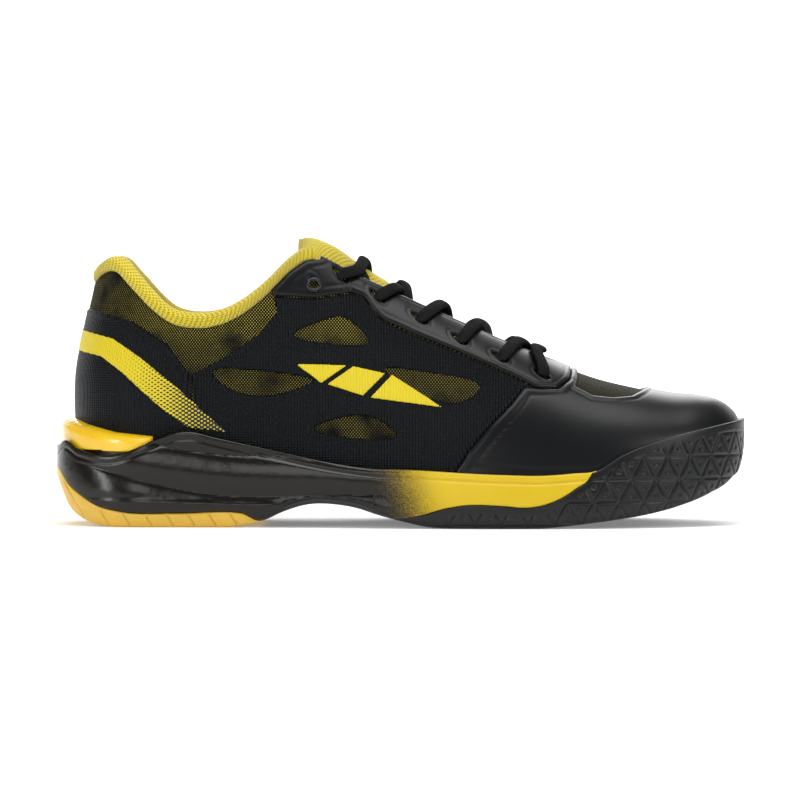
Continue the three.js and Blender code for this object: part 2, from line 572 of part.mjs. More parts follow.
function addSole() {
  const cavity = last(CUP_GAP, BOARD_T + GAP);
  const block = soleBlock(0, 0).subtract(cavity);
  const core = soleBlock(RAND_T, RUBBER_T);
  const heelZone = sidePrism([...HEEL_RUBBER_TOP, [-46, -20], [-150, -20]]);
  const foreZone = sidePrism([...FORE_RUBBER_TOP, [175, 60], [175, -20], [-11, -20]]);
  const arch = SOLE_BOTTOM.filter(([x]) => x >= -49.1 && x <= 0.6);
  const strip = (grow) => sidePrism([[-52, -20], ...lifted(arch, 0, SHANK_T + grow), [4 + grow, -20]]);
  add('outsole_heel', geometryOf(block.intersect(heelZone)), gum);
  const coreGrown = soleBlock(RAND_T - GAP, RUBBER_T - GAP);
  add('outsole_forefoot', geometryOf(block.intersect(foreZone).subtract(coreGrown)), rubber);
  const heelClear = sidePrism(lifted([...HEEL_RUBBER_TOP, [-46 + GAP, -20], [-150, -20]], 0, GAP));
  const foreClear = sidePrism(lifted([...FORE_RUBBER_TOP, [175, 60], [175, -20], [-11, -20]], -GAP, GAP));
  const shankZone = strip(0).subtract(heelClear).subtract(foreClear);
  add('shank_plate', geometryOf(block.intersect(shankZone)), rubber);
  const upperPart = block.subtract(heelClear).subtract(foreClear).subtract(strip(GAP));
  const underBed = sidePrism([...lifted(BED, 0, -BOARD_T - GAP - 0.2), [175, -20], [-150, -20]]);
  const foreRegion = [...lifted(FORE_RUBBER_TOP, -3, 0), [140, 60], [140, -20], [2, -20]];
  const forePart = core.subtract(cavity).intersect(underBed).intersect(sidePrism(foreRegion));
  add('midsole', geometryOf(upperPart.add(forePart)), gloss);
}

function addClip() {
  const region = [...CLIP_TOP, ...CLIP_BOTTOM];
  const wall = last(CUP_GAP + CLIP_T - 1.2, 30).subtract(last(CUP_GAP, 30));
  const clip = wall.intersect(sidePrism(region));
  add('heel_clip', geometryOf(clip), gum);
}

// A slab that follows the foot bed between two heights above it, inset from the surface.
function bedSlab(low, high, inset, front) {
  const xs = [HEEL_X + inset + 0.4, -134, -129, -121, -110, -96, -70, -45, -20, 0, 20, 50, 70, 90, 110,
    121, 129, front].filter((x, i, list) => i === 0 || i === list.length - 1
      || (x > HEEL_X + inset + 2 && x < front - 2));
  const across = 2;
  const profile = [];
  for (let j = 0; j <= across; j += 1) profile.push([j / across, high]);
  for (let j = across; j >= 0; j -= 1) profile.push([j / across, low]);
  return sweep(profile, xs.length, (k, { x: share, y: height }) => {
    const x = xs[k];
    const reach = (side) => {
      const grown = station(x - inset * (1 - smoothstep(-130, -90, x)), side);
      return Math.max(halfWidth(x, side) * grown.turn - inset, 2);
    };
    const y = -reach(-1) + (reach(-1) + reach(1)) * share;
    return new THREE.Vector3(x, y, at(BED, x) + height);
  });
}

function addBed() {
  const wall = MESH_T + GAP + BACKER_T + GAP + LINING_T;
  const fitted = (slab, play) => geometryOf(solid(slab).intersect(last(-wall - play, 12)));
  add('strobel_board', fitted(bedSlab(-BOARD_T, 0, wall + GAP, 136), GAP), board);
  add('insole_foam', fitted(bedSlab(GAP, GAP + INSOLE_T, wall + INSOLE_PLAY, 133), 1.5), yellow);
  const cover = 2 * GAP + INSOLE_T;
  add('insole_cover', fitted(bedSlab(cover, cover + INSOLE_COVER_T, wall + INSOLE_PLAY, 133), 1.5), yellow);
}

// Point on the shell at a side-view place, moved out by distance.
function shellPoint([x, z], side, distance) {
  return offset(station(x, side), angleAt(x, z), distance);
}

function throatPoint(x, side, distance) {
  return offset(station(x, side), angleOut(x, side, at(THROAT_HALF, x)), distance);
}

// The laced route: each crossing leaves the outside of an upper eyelet, drops over the throat's edge
// and comes up under the other edge to the inside of the next lower eyelet.
function crossing(from, to, side, height) {
  const middle = (from[0] + to[0]) / 2;
  return [shellPoint(from, side, LACE_LIFT),
    throatPoint(from[0] * 0.7 + to[0] * 0.3, side, LACE_LIFT),
    offset(station(middle, side), Math.PI / 2, height),
    throatPoint(from[0] * 0.3 + to[0] * 0.7, -side, -LACE_SINK),
    shellPoint(to, -side, -LACE_SINK)];
}

function strand(startSide, height) {
  const points = [];
  let side = startSide;
  for (let k = EYELETS.length - 1; k > 0; k -= 1) {
    points.push(...crossing(EYELETS[k], EYELETS[k - 1], side, height));
    side = -side;
  }
  return points;
}

function tail(side) {
  const route = [[-22, 97.5], [-9, 88.5], [6, 79], [22, 71.5], [36, 65]];
  return [...route.reverse().map((p) => shellPoint(p, side, -TAIL_SINK)),
    shellPoint([-25.5, 103], side, -TAIL_SINK), shellPoint(EYELETS[5], side, -LACE_SINK)];
}

function laceRoute() {
  const x = EYELETS[0][0];
  const across = (side) => [shellPoint(EYELETS[0], side, LACE_LIFT),
    offset(station(x + 0.5, side), angleOut(x, side, 13), LACE_LIFT + 0.5)];
  const front = offset(station(x + 1, 1), Math.PI / 2, LACE_LIFT);
  return [...tail(-1), ...strand(-1, LACE_OVER), ...across(1), front, ...across(-1).toReversed(),
    ...strand(1, LACE_UNDER).toReversed(), ...tail(1).toReversed()];
}

// A tube through a row of points, its ring carried along without twist.
function tube(points, radius, sides = 8) {
  const tangents = points.map((p, i) => {
    const before = points[Math.max(i - 1, 0)];
    const after = points[Math.min(i + 1, points.length - 1)];
    const a = p.clone().sub(before).normalize();
    const b = after.clone().sub(p).normalize();
    return a.add(b).normalize();
  });
  let across = new THREE.Vector3(0, 0, 1).cross(tangents[0]).normalize();
  const frames = tangents.map((t) => {
    across = across.clone().addScaledVector(t, -across.dot(t)).normalize();
    return [across, t.clone().cross(across)];
  });
  const profile = Array.from({ length: sides }, (_, i) => {
    const angle = (2 * Math.PI * i) / sides;
    return [radius * Math.cos(angle), radius * Math.sin(angle)];
  });
  return sweep(profile, points.length, (k, p) => points[k].clone()
    .addScaledVector(frames[k][0], p.x).addScaledVector(frames[k][1], p.y));
}

function addLaces() {
  const route = laceRoute();
  add('shoelace', tube(route, LACE_R), lace);
  for (const [side, word, end] of [[-1, 'lateral', route[0]], [1, 'medial', route.at(-1)]]) {
    const direction = shellPoint([54, 56.5], side, -TAIL_SINK - 2).sub(end).normalize();
    const start = end.clone().addScaledVector(direction, GAP);
    const tip = start.clone().addScaledVector(direction, AGLET_LENGTH);
    add(`aglet_${word}`, tube([start, tip], LACE_R - 0.2), lace);
  }
  for (const [side, word] of [[-1, 'lateral'], [1, 'medial']]) {
    const profile = [[2.4, 0], [3.6, 0], [3.4, 0.8], [2.6, 0.8]].map(([r, h]) => new THREE.Vector2(r, h));
    const ring = new THREE.LatheGeometry([...profile, profile[0]], 10);
    const place = station(SPARE_EYELET[0], side);
    const a = angleAt(...SPARE_EYELET);
    const turn = new THREE.Quaternion().setFromUnitVectors(new THREE.Vector3(0, 1, 0), normal(place, a));
    ring.applyQuaternion(turn);
    const seat = offset(place, a, GAP + EYESTAY_T + GAP + 0.1);
    ring.translate(seat.x, seat.y, seat.z);
    add(`eyelet_ring_${word}`, geometryOf(solid(ring)), rubber);
  }
}

addSole();
addClip();
addBed();
addUpper();
addCollar();
addTongue();
addLaces();

const box = new THREE.Box3().setFromObject(shoe);
const centre = box.getCenter(new THREE.Vector3());
shoe.position.set(-centre.x, -centre.y, -box.min.z);
shoe.updateMatrixWorld(true);

export default shoe;
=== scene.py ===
# %% [markdown]
# # A low-cut court shoe for badminton
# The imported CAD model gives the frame: sizes, bodies and joints. This lesson dresses it. Each visible
# piece is a numpy surface laid on one foot-shaped form, the last, as a shoemaker lasts an upper.

# %% Load the frame
import math
import numpy as np
import bpy
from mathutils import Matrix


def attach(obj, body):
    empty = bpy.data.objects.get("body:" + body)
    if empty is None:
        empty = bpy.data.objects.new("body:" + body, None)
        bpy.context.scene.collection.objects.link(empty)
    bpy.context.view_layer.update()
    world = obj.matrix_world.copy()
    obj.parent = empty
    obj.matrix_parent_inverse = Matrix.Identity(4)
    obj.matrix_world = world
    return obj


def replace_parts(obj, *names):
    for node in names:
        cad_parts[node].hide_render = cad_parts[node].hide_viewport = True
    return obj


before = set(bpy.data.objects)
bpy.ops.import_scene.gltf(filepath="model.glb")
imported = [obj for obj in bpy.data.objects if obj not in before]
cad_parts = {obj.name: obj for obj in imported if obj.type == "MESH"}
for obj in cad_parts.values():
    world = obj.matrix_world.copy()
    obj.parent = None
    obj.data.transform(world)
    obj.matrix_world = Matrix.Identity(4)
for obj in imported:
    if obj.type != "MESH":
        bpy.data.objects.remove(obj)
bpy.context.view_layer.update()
MM = 0.001
SHIFT = np.array([-0.25, 0.55, 0.0])  # from the last's own axes to the frame's, mm

# %% [markdown]
# ## Camera, floor and light
# The outer side of the shoe is seen almost level through a long lens. It stands on a pale floor
# that fades into a pale wall, with a big soft light above and strips that draw highlights on the gloss.

# %% Camera
def aim(obj, target):
    direction = np.array(target) - np.array(obj.location)
    horizontal = math.hypot(direction[0], direction[1])
    yaw = math.atan2(direction[1], direction[0]) - math.pi / 2
    obj.rotation_euler = (math.pi / 2 + math.atan2(direction[2], horizontal), 0, yaw)

LENS_DISTANCE = 2.4
camera_data = bpy.data.cameras.new("camera")
camera = bpy.data.objects.new("camera", camera_data)
bpy.context.collection.objects.link(camera)
camera.location = (-0.0003, -LENS_DISTANCE, 0.115)
camera_data.lens = 254
camera_data.sensor_width = 36
aim(camera, (-0.0003, 0.0, 0.0525))
bpy.context.scene.camera = camera
print("camera", tuple(round(v, 3) for v in camera.location))

# %% Floor and lights
def linked(name, data):
    obj = bpy.data.objects.new(name, data)
    bpy.context.collection.objects.link(obj)
    return obj

def sweep_floor(width=6.0, depth=3.0, rise=2.5, bend=0.8):
    """A flat floor that curves up into a wall: straight, a quarter circle of radius bend, straight."""
    turn = np.linspace(0, np.pi / 2, 17)
    y = np.concatenate([[-depth * 1.4], depth - bend + bend * np.sin(turn), [depth]])
    z = np.concatenate([[0], bend - bend * np.cos(turn), [rise]])
    x = np.array([-width / 2, width / 2])
    verts = [(a, b, c) for b, c in zip(y, z) for a in x]
    faces = [(2 * i, 2 * i + 1, 2 * i + 3, 2 * i + 2) for i in range(len(y) - 1)]
    mesh = bpy.data.meshes.new("floor")
    mesh.from_pydata(verts, [], faces)
    mesh.polygons.foreach_set("use_smooth", [True] * len(faces))
    return linked("floor", mesh)

floor = sweep_floor()

def soft_light(name, place, target, size, watts, size_y=None):
    data = bpy.data.lights.new(name, "AREA")
    data.energy = watts
    data.size = size
    if size_y:
        data.shape = "RECTANGLE"
        data.size_y = size_y
    lamp = linked(name, data)
    lamp.location = place
    aim(lamp, target)

soft_light("top_light", (0.15, -0.25, 1.5), (0.0, 0.0, 0.05), 1.5, 19, 0.9)
soft_light("front_light", (-0.5, -1.9, 0.75), (0.0, 0.0, 0.06), 0.8, 6)
soft_light("heel_strip", (-1.2, -0.75, 0.40), (-0.1, 0.0, 0.06), 0.16, 6, 0.9)
soft_light("toe_strip", (1.1, -0.7, 0.65), (0.1, 0.0, 0.04), 0.3, 5, 0.7)
soft_light("back_light", (0.0, 1.4, 0.9), (0.0, 0.0, 0.06), 1.0, 9)
world = bpy.data.worlds.new("studio")
world.use_nodes = True
world.node_tree.nodes["Background"].inputs["Color"].default_value = (1.0, 1.0, 1.0, 1)
world.node_tree.nodes["Background"].inputs["Strength"].default_value = 0.21
bpy.context.scene.world = world
bpy.context.scene.view_settings.view_transform = "Standard"

# %% [markdown]
# ## Shader maths as Python
# A material is easier to read as a formula than as a drawing of wires. `Value` wraps a socket, so that
# `a * 2 + b` adds the Math nodes by itself. Colours are blended by Mix nodes.

# %% A small shader language
class Value:
    """One number of the shader; arithmetic on it adds Math nodes to the same tree."""
    def __init__(self, maker, socket):
        self.maker = maker
        self.socket = socket

    def __add__(self, other):
        return self.maker.math("ADD", self, other)

    def __radd__(self, other):
        return self.maker.math("ADD", other, self)

    def __sub__(self, other):
        return self.maker.math("SUBTRACT", self, other)

    def __rsub__(self, other):
        return self.maker.math("SUBTRACT", other, self)

    def __mul__(self, other):
        return self.maker.math("MULTIPLY", self, other)

class Maker:
    def __init__(self, name):
        self.material = bpy.data.materials.new(name)
        self.material.use_nodes = True
        self.tree = self.material.node_tree
        self.surface = self.tree.nodes["Principled BSDF"]

    def put(self, socket, value):
        if isinstance(value, Value):
            self.tree.links.new(value.socket, socket)
        elif isinstance(value, bpy.types.NodeSocket):
            self.tree.links.new(value, socket)
        elif value is not None:
            socket.default_value = value

    def node(self, kind, settings=(), inputs=(), output=0):
        made = self.tree.nodes.new(kind)
        for key, value in dict(settings).items():
            setattr(made, key, value)
        for key, value in dict(inputs).items():
            self.put(made.inputs[key], value)
        return made.outputs[output]

    def math(self, operation, a, b=None):
        inputs = {i: v for i, v in enumerate((a, b)) if v is not None}
        return Value(self, self.node("ShaderNodeMath", {"operation": operation}, inputs))

    def split(self, coordinate):
        """The three numbers of a vector socket."""
        parts = self.tree.nodes.new("ShaderNodeSeparateXYZ")
        self.tree.links.new(coordinate, parts.inputs[0])
        return [Value(self, socket) for socket in parts.outputs]

    def uv(self):
        """Own UV map in millimetres: across and along the piece."""
        return self.split(self.node("ShaderNodeUVMap", {"uv_map": "mm"}))[:2]

    def place(self):
        """Object coordinates in millimetres."""
        return [value * 1000.0 for value in self.split(self.node("ShaderNodeTexCoord", output=3))]

    def noise(self, scale, detail=3.0, roughness=0.55):
        vector = self.node("ShaderNodeTexCoord", output=3)
        return Value(self, self.node("ShaderNodeTexNoise", {}, {
            "Vector": vector, "Scale": scale, "Detail": detail, "Roughness": roughness}))

    def attribute(self, name):
        return Value(self, self.node("ShaderNodeAttribute", {"attribute_name": name}, output=2))

    def sine(self, value):
        return self.math("SINE", value)

    def wave(self, value, pitch):
        """Sine that repeats every pitch mm."""
        return self.sine(value * (2 * math.pi / pitch))

    def absolute(self, value):
        return self.math("ABSOLUTE", value)

    def larger(self, a, b):
        return self.math("MAXIMUM", a, b)

    def ramp(self, value, low, high):
        """0 below low, 1 above high, smooth between."""
        return Value(self, self.node("ShaderNodeMapRange", {"interpolation_type": "SMOOTHSTEP"}, {
            "Value": value, "From Min": low, "From Max": high}))

    def blend(self, factor, a, b):
        made = self.tree.nodes.new("ShaderNodeMix")
        made.data_type = "RGBA"
        self.put(made.inputs[0], factor)
        self.put(made.inputs[6], a if not isinstance(a, tuple) else (*a, 1.0))
        self.put(made.inputs[7], b if not isinstance(b, tuple) else (*b, 1.0))
        return made.outputs[2]

    def finish(self, color, roughness, height=None, depth=0.3, **constants):
        self.put(self.surface.inputs["Base Color"], (*color, 1.0) if isinstance(color, tuple) else color)
        self.put(self.surface.inputs["Roughness"], roughness)
        for key, value in constants.items():
            self.surface.inputs[key.replace("_", " ")].default_value = value
        if height is not None:
            bump = self.node("ShaderNodeBump", {}, {"Height": height, "Distance": depth * MM})
            self.put(self.surface.inputs["Normal"], bump)
        return self.material

# %% [markdown]
# ## The finishes
# The black parts are never one black: the film is ribbed and picks up a blue-grey sheen, the moulded cap
# is satin, the midsole is a wet gloss, the rubber is dry. The yellow parts are a spacer knit, a print, a
# foam and a translucent gum.

# %% Cloths
def knit(name, light, hole_shade, pitch=2.1):
    """Spacer knit: rows of small holes, each row shifted half a step, between raised loops; the holes get
    painted shade.
    """
    m = Maker(name)
    u, v = m.uv()
    wave = m.wave(u, pitch) * m.wave(v, pitch)
    fine = m.wave(u + v, pitch * 0.36) * 0.12
    hole = m.ramp(wave, 0.15, 0.75)
    speck = m.noise(900.0) * 0.3
    # Painted shade: the holes are mixed towards a darker yellow, standing for the shade inside them.
    color = m.blend(hole * 0.85, m.blend(speck, light, tuple(c * 0.9 for c in light)), hole_shade)
    return m.finish(color, 0.85, 1.0 - hole + fine + speck * 0.4, 0.7,
                    Sheen_Weight=0.35, Sheen_Roughness=0.4)

def open_mesh(name):
    """Black woven mesh; light yellow threads behind it show as small dots in the open cells."""
    m = Maker(name)
    u, v = m.uv()
    cell_u = m.wave(u, 1.25)
    cell_v = m.wave(v, 1.5)
    dots = m.ramp(cell_u * cell_v, 0.30, 0.62) * m.ramp(m.noise(60.0), 0.3, 0.55)
    strands = m.larger(m.absolute(cell_u), m.absolute(cell_v))
    color = m.blend(dots * m.attribute("window"), (0.0016, 0.0018, 0.002), (0.55, 0.46, 0.06))
    return m.finish(color, 0.7, strands - dots, 0.35, Specular_IOR_Level=0.12)

def ribbed_film(name):
    """Thin film over ribbed mesh: upright ribs 1.3 mm apart, broken into small beads."""
    m = Maker(name)
    u, v = m.uv()
    rib = m.wave(u, 1.3)
    bead = m.wave(v, 1.05)
    cloud = m.noise(30.0)
    # Painted shade: darker in the grooves between the ribs, lighter on their crests.
    color = m.blend(m.ramp(rib, -0.2, 1.0), (0.0012, 0.0014, 0.0018), (0.003, 0.0034, 0.0045))
    return m.finish(color, 0.30 + cloud * 0.16, rib + bead * 0.35, 0.28, Specular_IOR_Level=0.2,
                    Specular_Tint=(0.86, 0.92, 1.0, 1.0))

def plain_cloth(name, color, pitch=1.1):
    """Close weave seen from inside the shoe."""
    m = Maker(name)
    u, v = m.uv()
    weave = m.wave(u, pitch) * m.wave(v, pitch)
    shade = m.blend(m.noise(120.0), color, tuple(c * 0.7 for c in color))
    return m.finish(shade, 0.9, weave, 0.25, Sheen_Weight=0.3)

# %% Mouldings
def satin_skin(name):
    """Moulded synthetic leather: near black, a fine grain, and soft polish that varies."""
    m = Maker(name)
    grain = m.noise(1400.0, 2.0)
    cloud = m.noise(18.0)
    color = m.blend(cloud, (0.0018, 0.002, 0.0025), (0.0035, 0.004, 0.005))
    return m.finish(color, 0.27 + cloud * 0.1 + grain * 0.05, grain, 0.03, Specular_IOR_Level=0.24)

def sole_foam(name):
    """Painted foam: black at the heel, then black dots that thin out until golden yellow is left."""
    m = Maker(name)
    x, _, z = m.place()
    along = m.ramp(x + (z - 12.0) * 0.35, -12.0, 24.0)
    grain = m.noise(3600.0, 1.0, 0.5)
    spray = m.ramp(grain, 0.40, 0.60)
    mask = m.ramp(along * 1.1 + (spray - 0.5) * 0.35, 0.1, 1.0)
    cloud = m.noise(40.0)
    gold = m.blend(cloud, (0.60, 0.41, 0.004), (0.66, 0.46, 0.01))
    color = m.blend(mask, (0.0012, 0.0013, 0.0016), gold)
    ripple = m.noise(55.0, 4.0)
    return m.finish(color, 0.16 + mask * 0.24 + cloud * 0.06, ripple * (1.0 - mask) + grain * 0.03, 0.5,
                    Specular_IOR_Level=0.36)

def grooved_rubber(name):
    """Dry black rubber; the dots and grooves are in the shape, this adds the moulded grain."""
    m = Maker(name)
    grain = m.noise(2200.0, 2.0)
    cloud = m.noise(25.0)
    color = m.blend(cloud, (0.0025, 0.0028, 0.0034), (0.005, 0.0055, 0.0065))
    return m.finish(color, 0.30 + grain * 0.12, grain, 0.02, Specular_IOR_Level=0.36)

def gum(name, shallow, deep, roughness):
    """Translucent gum: lets light in under the skin, darker where it is thick."""
    m = Maker(name)
    cloud = m.noise(45.0)
    color = m.blend(cloud, shallow, deep)
    return m.finish(color, roughness + cloud * 0.1, m.noise(700.0), 0.03,
                    Subsurface_Weight=0.25, Subsurface_Scale=0.004, Coat_Weight=0.3, Coat_Roughness=0.2)

def print_yellow(name, fading):
    """Yellow print over the ribs. Towards its front end it breaks into dashes that thin out."""
    m = Maker(name)
    u, v = m.uv()
    rib = m.wave(u, 1.3)
    color = (0.80, 0.64, 0.004)
    base = m.blend(m.noise(90.0), color, (0.72, 0.56, 0.003))
    if fading:
        dash = m.wave(u, 2.6) * m.wave(v, 1.7)
        fade = m.ramp(m.absolute(m.attribute("along")), 0.45, 1.0)
        hole = m.ramp(dash + fade * 1.5, 0.85, 1.05)
        base = m.blend(hole, base, (0.008, 0.009, 0.011))
    return m.finish(base, 0.42, rib, 0.2)

def braid(name):
    """Flat braid: ribs across the lace, a little slanted, with a faint sheen."""
    m = Maker(name)
    u, v = m.uv()
    rib = m.sine(v * (2 * math.pi / 1.15) + m.sine(u * 1.1) * 0.8)
    strand = m.sine(u * (2 * math.pi / 0.9) + v * 2.0)
    # Painted shade: the braid is darker in the grooves between its ribs, lighter on their crests.
    color = m.blend(m.ramp(rib, -0.6, 1.0), (0.001, 0.001, 0.0012), (0.0045, 0.0045, 0.005))
    return m.finish(color, 0.8, rib + strand * 0.25, 0.45, Specular_IOR_Level=0.15, Sheen_Weight=0.03,
                    Sheen_Roughness=0.5)

def plain(name, color, roughness, **constants):
    m = Maker(name)
    cloud = m.noise(80.0)
    return m.finish(m.blend(cloud, color, tuple(c * 0.75 for c in color)), roughness + cloud * 0.1,
                    m.noise(900.0), 0.04, **constants)

FINISH = {
    # For the knit, the darker yellow is the painted shade in its holes.
    "knit": knit("yellow_spacer_knit", (0.86, 0.68, 0.008), (0.30, 0.21, 0.0)),
    "mesh": open_mesh("open_black_mesh"),
    "film": ribbed_film("ribbed_black_film"),
    "lining": plain_cloth("dark_lining_cloth", (0.035, 0.035, 0.04)),
    "insole": plain_cloth("yellow_insole_cloth", (0.72, 0.50, 0.02), 1.6),
    "skin": satin_skin("satin_black_moulding"),
    "sole": sole_foam("glossy_sole_foam"),
    "rubber": grooved_rubber("dry_black_rubber"),
    "gum": gum("amber_gum_rubber", (0.72, 0.46, 0.045), (0.60, 0.36, 0.02), 0.38),
    "clip": gum("glossy_amber_moulding", (0.86, 0.56, 0.012), (0.74, 0.43, 0.004), 0.16),
    "print": print_yellow("yellow_print", False),
    "fading": print_yellow("fading_yellow_print", True),
    "lace": braid("black_lace_braid"),
    "plate": plain("satin_arch_plate", (0.012, 0.012, 0.014), 0.3),
    "board": plain("pale_board", (0.5, 0.48, 0.43), 0.9),
    "foam": plain("cream_foam", (0.62, 0.55, 0.30), 0.9),
    "ring": plain("dark_metal_ring", (0.05, 0.05, 0.055), 0.25, Metallic=0.9),
    "aglet": plain("clear_black_sheath", (0.015, 0.015, 0.017), 0.15),
}

def studio_white(name):
    """Plain pale floor; a trace of its own light keeps the far wall as pale as the ground."""
    m = Maker(name)
    glow = m.blend(m.ramp(m.place()[1], 100.0, 1400.0), (0.2, 0.2, 0.2), (0.9, 0.9, 0.9))
    m.put(m.surface.inputs["Emission Color"], glow)
    return m.finish((0.9, 0.9, 0.9), 0.9, Emission_Strength=1.0, Specular_IOR_Level=0.0)

wall = studio_white("pale_studio")
floor.data.materials.append(wall)
print("finishes", len(FINISH))

# %% [markdown]
# ## The last
# Every part of the upper is an offset of one surface. A section across the shoe is a superellipse
# between the foot bed and the ridge; its width and height follow smooth curves along the shoe. The back
# of the heel leans with its own profile.

# %% Curves of the last, [x, value] in mm
RIDGE = [[-138, 190], [-100, 190], [-75, 178], [-60, 150], [-50, 137.5], [-40, 129.5], [-30, 121.6],
         [-20, 113.5], [-6, 104.5], [10, 95.5], [30, 85.5], [50, 76], [67, 67.8], [81, 62.4], [101, 57.4],
         [115, 54.6], [127, 53.4], [134, 51.8], [139, 48.8], [142, 45.4], [143.5, 42]]
BED = [[-138, 27.5], [-110, 26.5], [-80, 26], [-50, 24], [-20, 20.5], [0, 18], [20, 16.3], [50, 15.5],
       [70, 16], [90, 18.5], [110, 22.5], [130, 28.5], [143.5, 34]]
OUTER_HALF = [[-138, 35], [-85, 35.5], [-60, 36.5], [-35, 39], [-10, 43.5], [15, 48.5], [35, 51],
              [55, 50.5], [75, 48.5], [95, 46], [115, 43], [143.5, 40]]
INNER_HALF = [[-138, 34.5], [-110, 35], [-85, 33.5], [-60, 32.5], [-35, 33.5], [-10, 38], [15, 44],
              [40, 48.5], [60, 50], [80, 49.5], [100, 47.5], [120, 44], [143.5, 40]]
HEEL_BACK = [[20, -135], [36, -137], [50, -137.8], [62.5, -137.6], [84, -133.8], [104.5, -129.4],
             [116, -128.2], [190, -124]]
TOPLINE = [[-129.5, 104], [-127, 106.6], [-120, 108.6], [-113.6, 102.5], [-105, 93.8], [-97, 87.6],
           [-86, 85], [-75.6, 86.4], [-66, 91], [-56, 99], [-46, 109], [-39.8, 113.2], [-33.5, 114]]
SOLE_TOP = [[-146, 31], [-143.5, 35], [-135.5, 32.6], [-123.7, 30.2], [-117, 31.2], [-109.5, 34.2],
            [-102.2, 37], [-95.6, 39.6], [-88, 40.5], [-78.4, 38.3], [-54.6, 32.9], [-35.4, 28.7],
            [-16.2, 25.7], [9.5, 24.3], [42.8, 22.6], [59.9, 22.3], [72.7, 23.2], [81, 24], [92.9, 30.8],
            [110.2, 37.1], [129.6, 41.7], [146.4, 45]]
SOLE_BOTTOM = [[-146, 22], [-143.1, 15.2], [-139.7, 8.4], [-136.3, 5], [-129.6, 1.7], [-120, 0],
               [-72, 0], [-66, 0.8], [-57.2, 2.9], [-49.1, 6.6], [-38.8, 9.7], [-26.3, 9.7],
               [-18.5, 8.4], [-9.5, 5.6], [0.6, 2.9], [12.9, 0.4], [20, 0], [59, 0], [72.7, 1.3],
               [89.5, 3.4], [103, 5.5], [116.5, 8.8], [130, 13.9], [140.1, 20.2], [144.5, 26], [146.4, 34]]
THROAT_HALF = [[-60, 22], [-33, 19.5], [-10, 17], [20, 15], [50, 12.5], [58, 10]]
TONGUE_HALF = [[-42, 24], [-34, 31], [-20, 34], [20, 36], [50, 33], [69, 30]]
HEEL_X, HEEL_ROUND, TOE_X, TOE_ROUND = -137.8, 42.0, 143.5, 72.0
SIDE_POWER, CROWN_POWER, TOE_POWER = 2.1, 2.3, 2.2

def at(points, x):
    """Smooth curve through [x, value] points: cubic between points, slopes averaged from neighbours."""
    px, pv = np.array(points, float).T
    step = np.diff(px)
    slope = np.diff(pv) / step
    tangent = np.concatenate([slope[:1], (slope[:-1] * step[1:] + slope[1:] * step[:-1])
                              / (step[:-1] + step[1:]), slope[-1:]])
    x = np.clip(x, px[0], px[-1])
    i = np.clip(np.searchsorted(px, x, side="right") - 1, 0, len(step) - 1)
    t = (x - px[i]) / step[i]
    return ((2 * t**3 - 3 * t**2 + 1) * pv[i] + (t**3 - 2 * t**2 + t) * step[i] * tangent[i]
            + (3 * t**2 - 2 * t**3) * pv[i + 1] + (t**3 - t**2) * step[i] * tangent[i + 1])

def smoothstep(a, b, x):
    t = np.clip((x - a) / (b - a), 0, 1)
    return t * t * (3 - 2 * t)

def rounded(t, power):
    """Quarter of a superellipse: 0 at t = 0, 1 from t = 1 on."""
    return (1 - (1 - np.clip(t, 0, 1)) ** power) ** (1 / power)

def half_width(x, side):
    wide = np.where(side < 0, at(OUTER_HALF, x), at(INNER_HALF, x))
    return wide * rounded((TOE_X - x) / TOE_ROUND, TOE_POWER)

QUARTER = HEEL_ROUND * np.pi / 2

def round_heel(p):
    """Walk p mm round the heel from its back: x, side and the sine that narrows the section."""
    turn = np.clip(np.abs(p) / HEEL_ROUND, 0, np.pi / 2)
    x = HEEL_X + HEEL_ROUND * (1 - np.cos(turn)) + np.maximum(np.abs(p) - QUARTER, 0)
    return x, np.where(p < 0, -1.0, 1.0), np.sin(turn)

def surface(x, side, turn, a):
    """Point of the last at angle a of its section: 0 at the feather edge, a quarter turn on the ridge."""
    bed = at(BED, x)
    z = bed + (at(RIDGE, x) - bed) * np.sin(a) ** (2 / CROWN_POWER)
    y = side * turn * half_width(x, side) * np.maximum(np.cos(a), 0) ** (2 / SIDE_POWER)
    lean = (at(HEEL_BACK, z) - HEEL_X) * (1 - smoothstep(-125, -70, x))
    return np.stack([x + lean, y, z], -1)

def angle_at(x, z):
    bed = at(BED, x)
    return np.arcsin(np.clip((z - bed) / (at(RIDGE, x) - bed), 0, 1) ** (CROWN_POWER / 2))

def by_height(p, z):
    """Point of the side at walk p and height z."""
    x, side, turn = round_heel(p)
    return surface(x, side, turn, np.maximum(angle_at(x, z), 0.02))

def over_top(x, b):
    """Point of the forefoot at x and angle b across: -90 outer feather edge, 0 ridge, 90 inner edge."""
    return surface(x, np.where(b < 0, -1.0, 1.0), 1.0, np.pi / 2 - np.abs(b))

def walk_to(x):
    """Walk p that reaches the section at x."""
    turn = np.arccos(np.clip(1 - (x - HEEL_X) / HEEL_ROUND, -1, 1))
    return np.where(x < HEEL_X + HEEL_ROUND, turn * HEEL_ROUND, x - HEEL_X - HEEL_ROUND + QUARTER)

print("ridge at x=0:", round(float(at(RIDGE, np.array(0.0))), 1), "mm")

# %% [markdown]
# ## From grids to pieces
# A piece is a grid of points with a height above the last at each point. It is closed by an inner copy
# and a rim, so it has real thickness and a lit edge. These helpers turn grids into meshes.

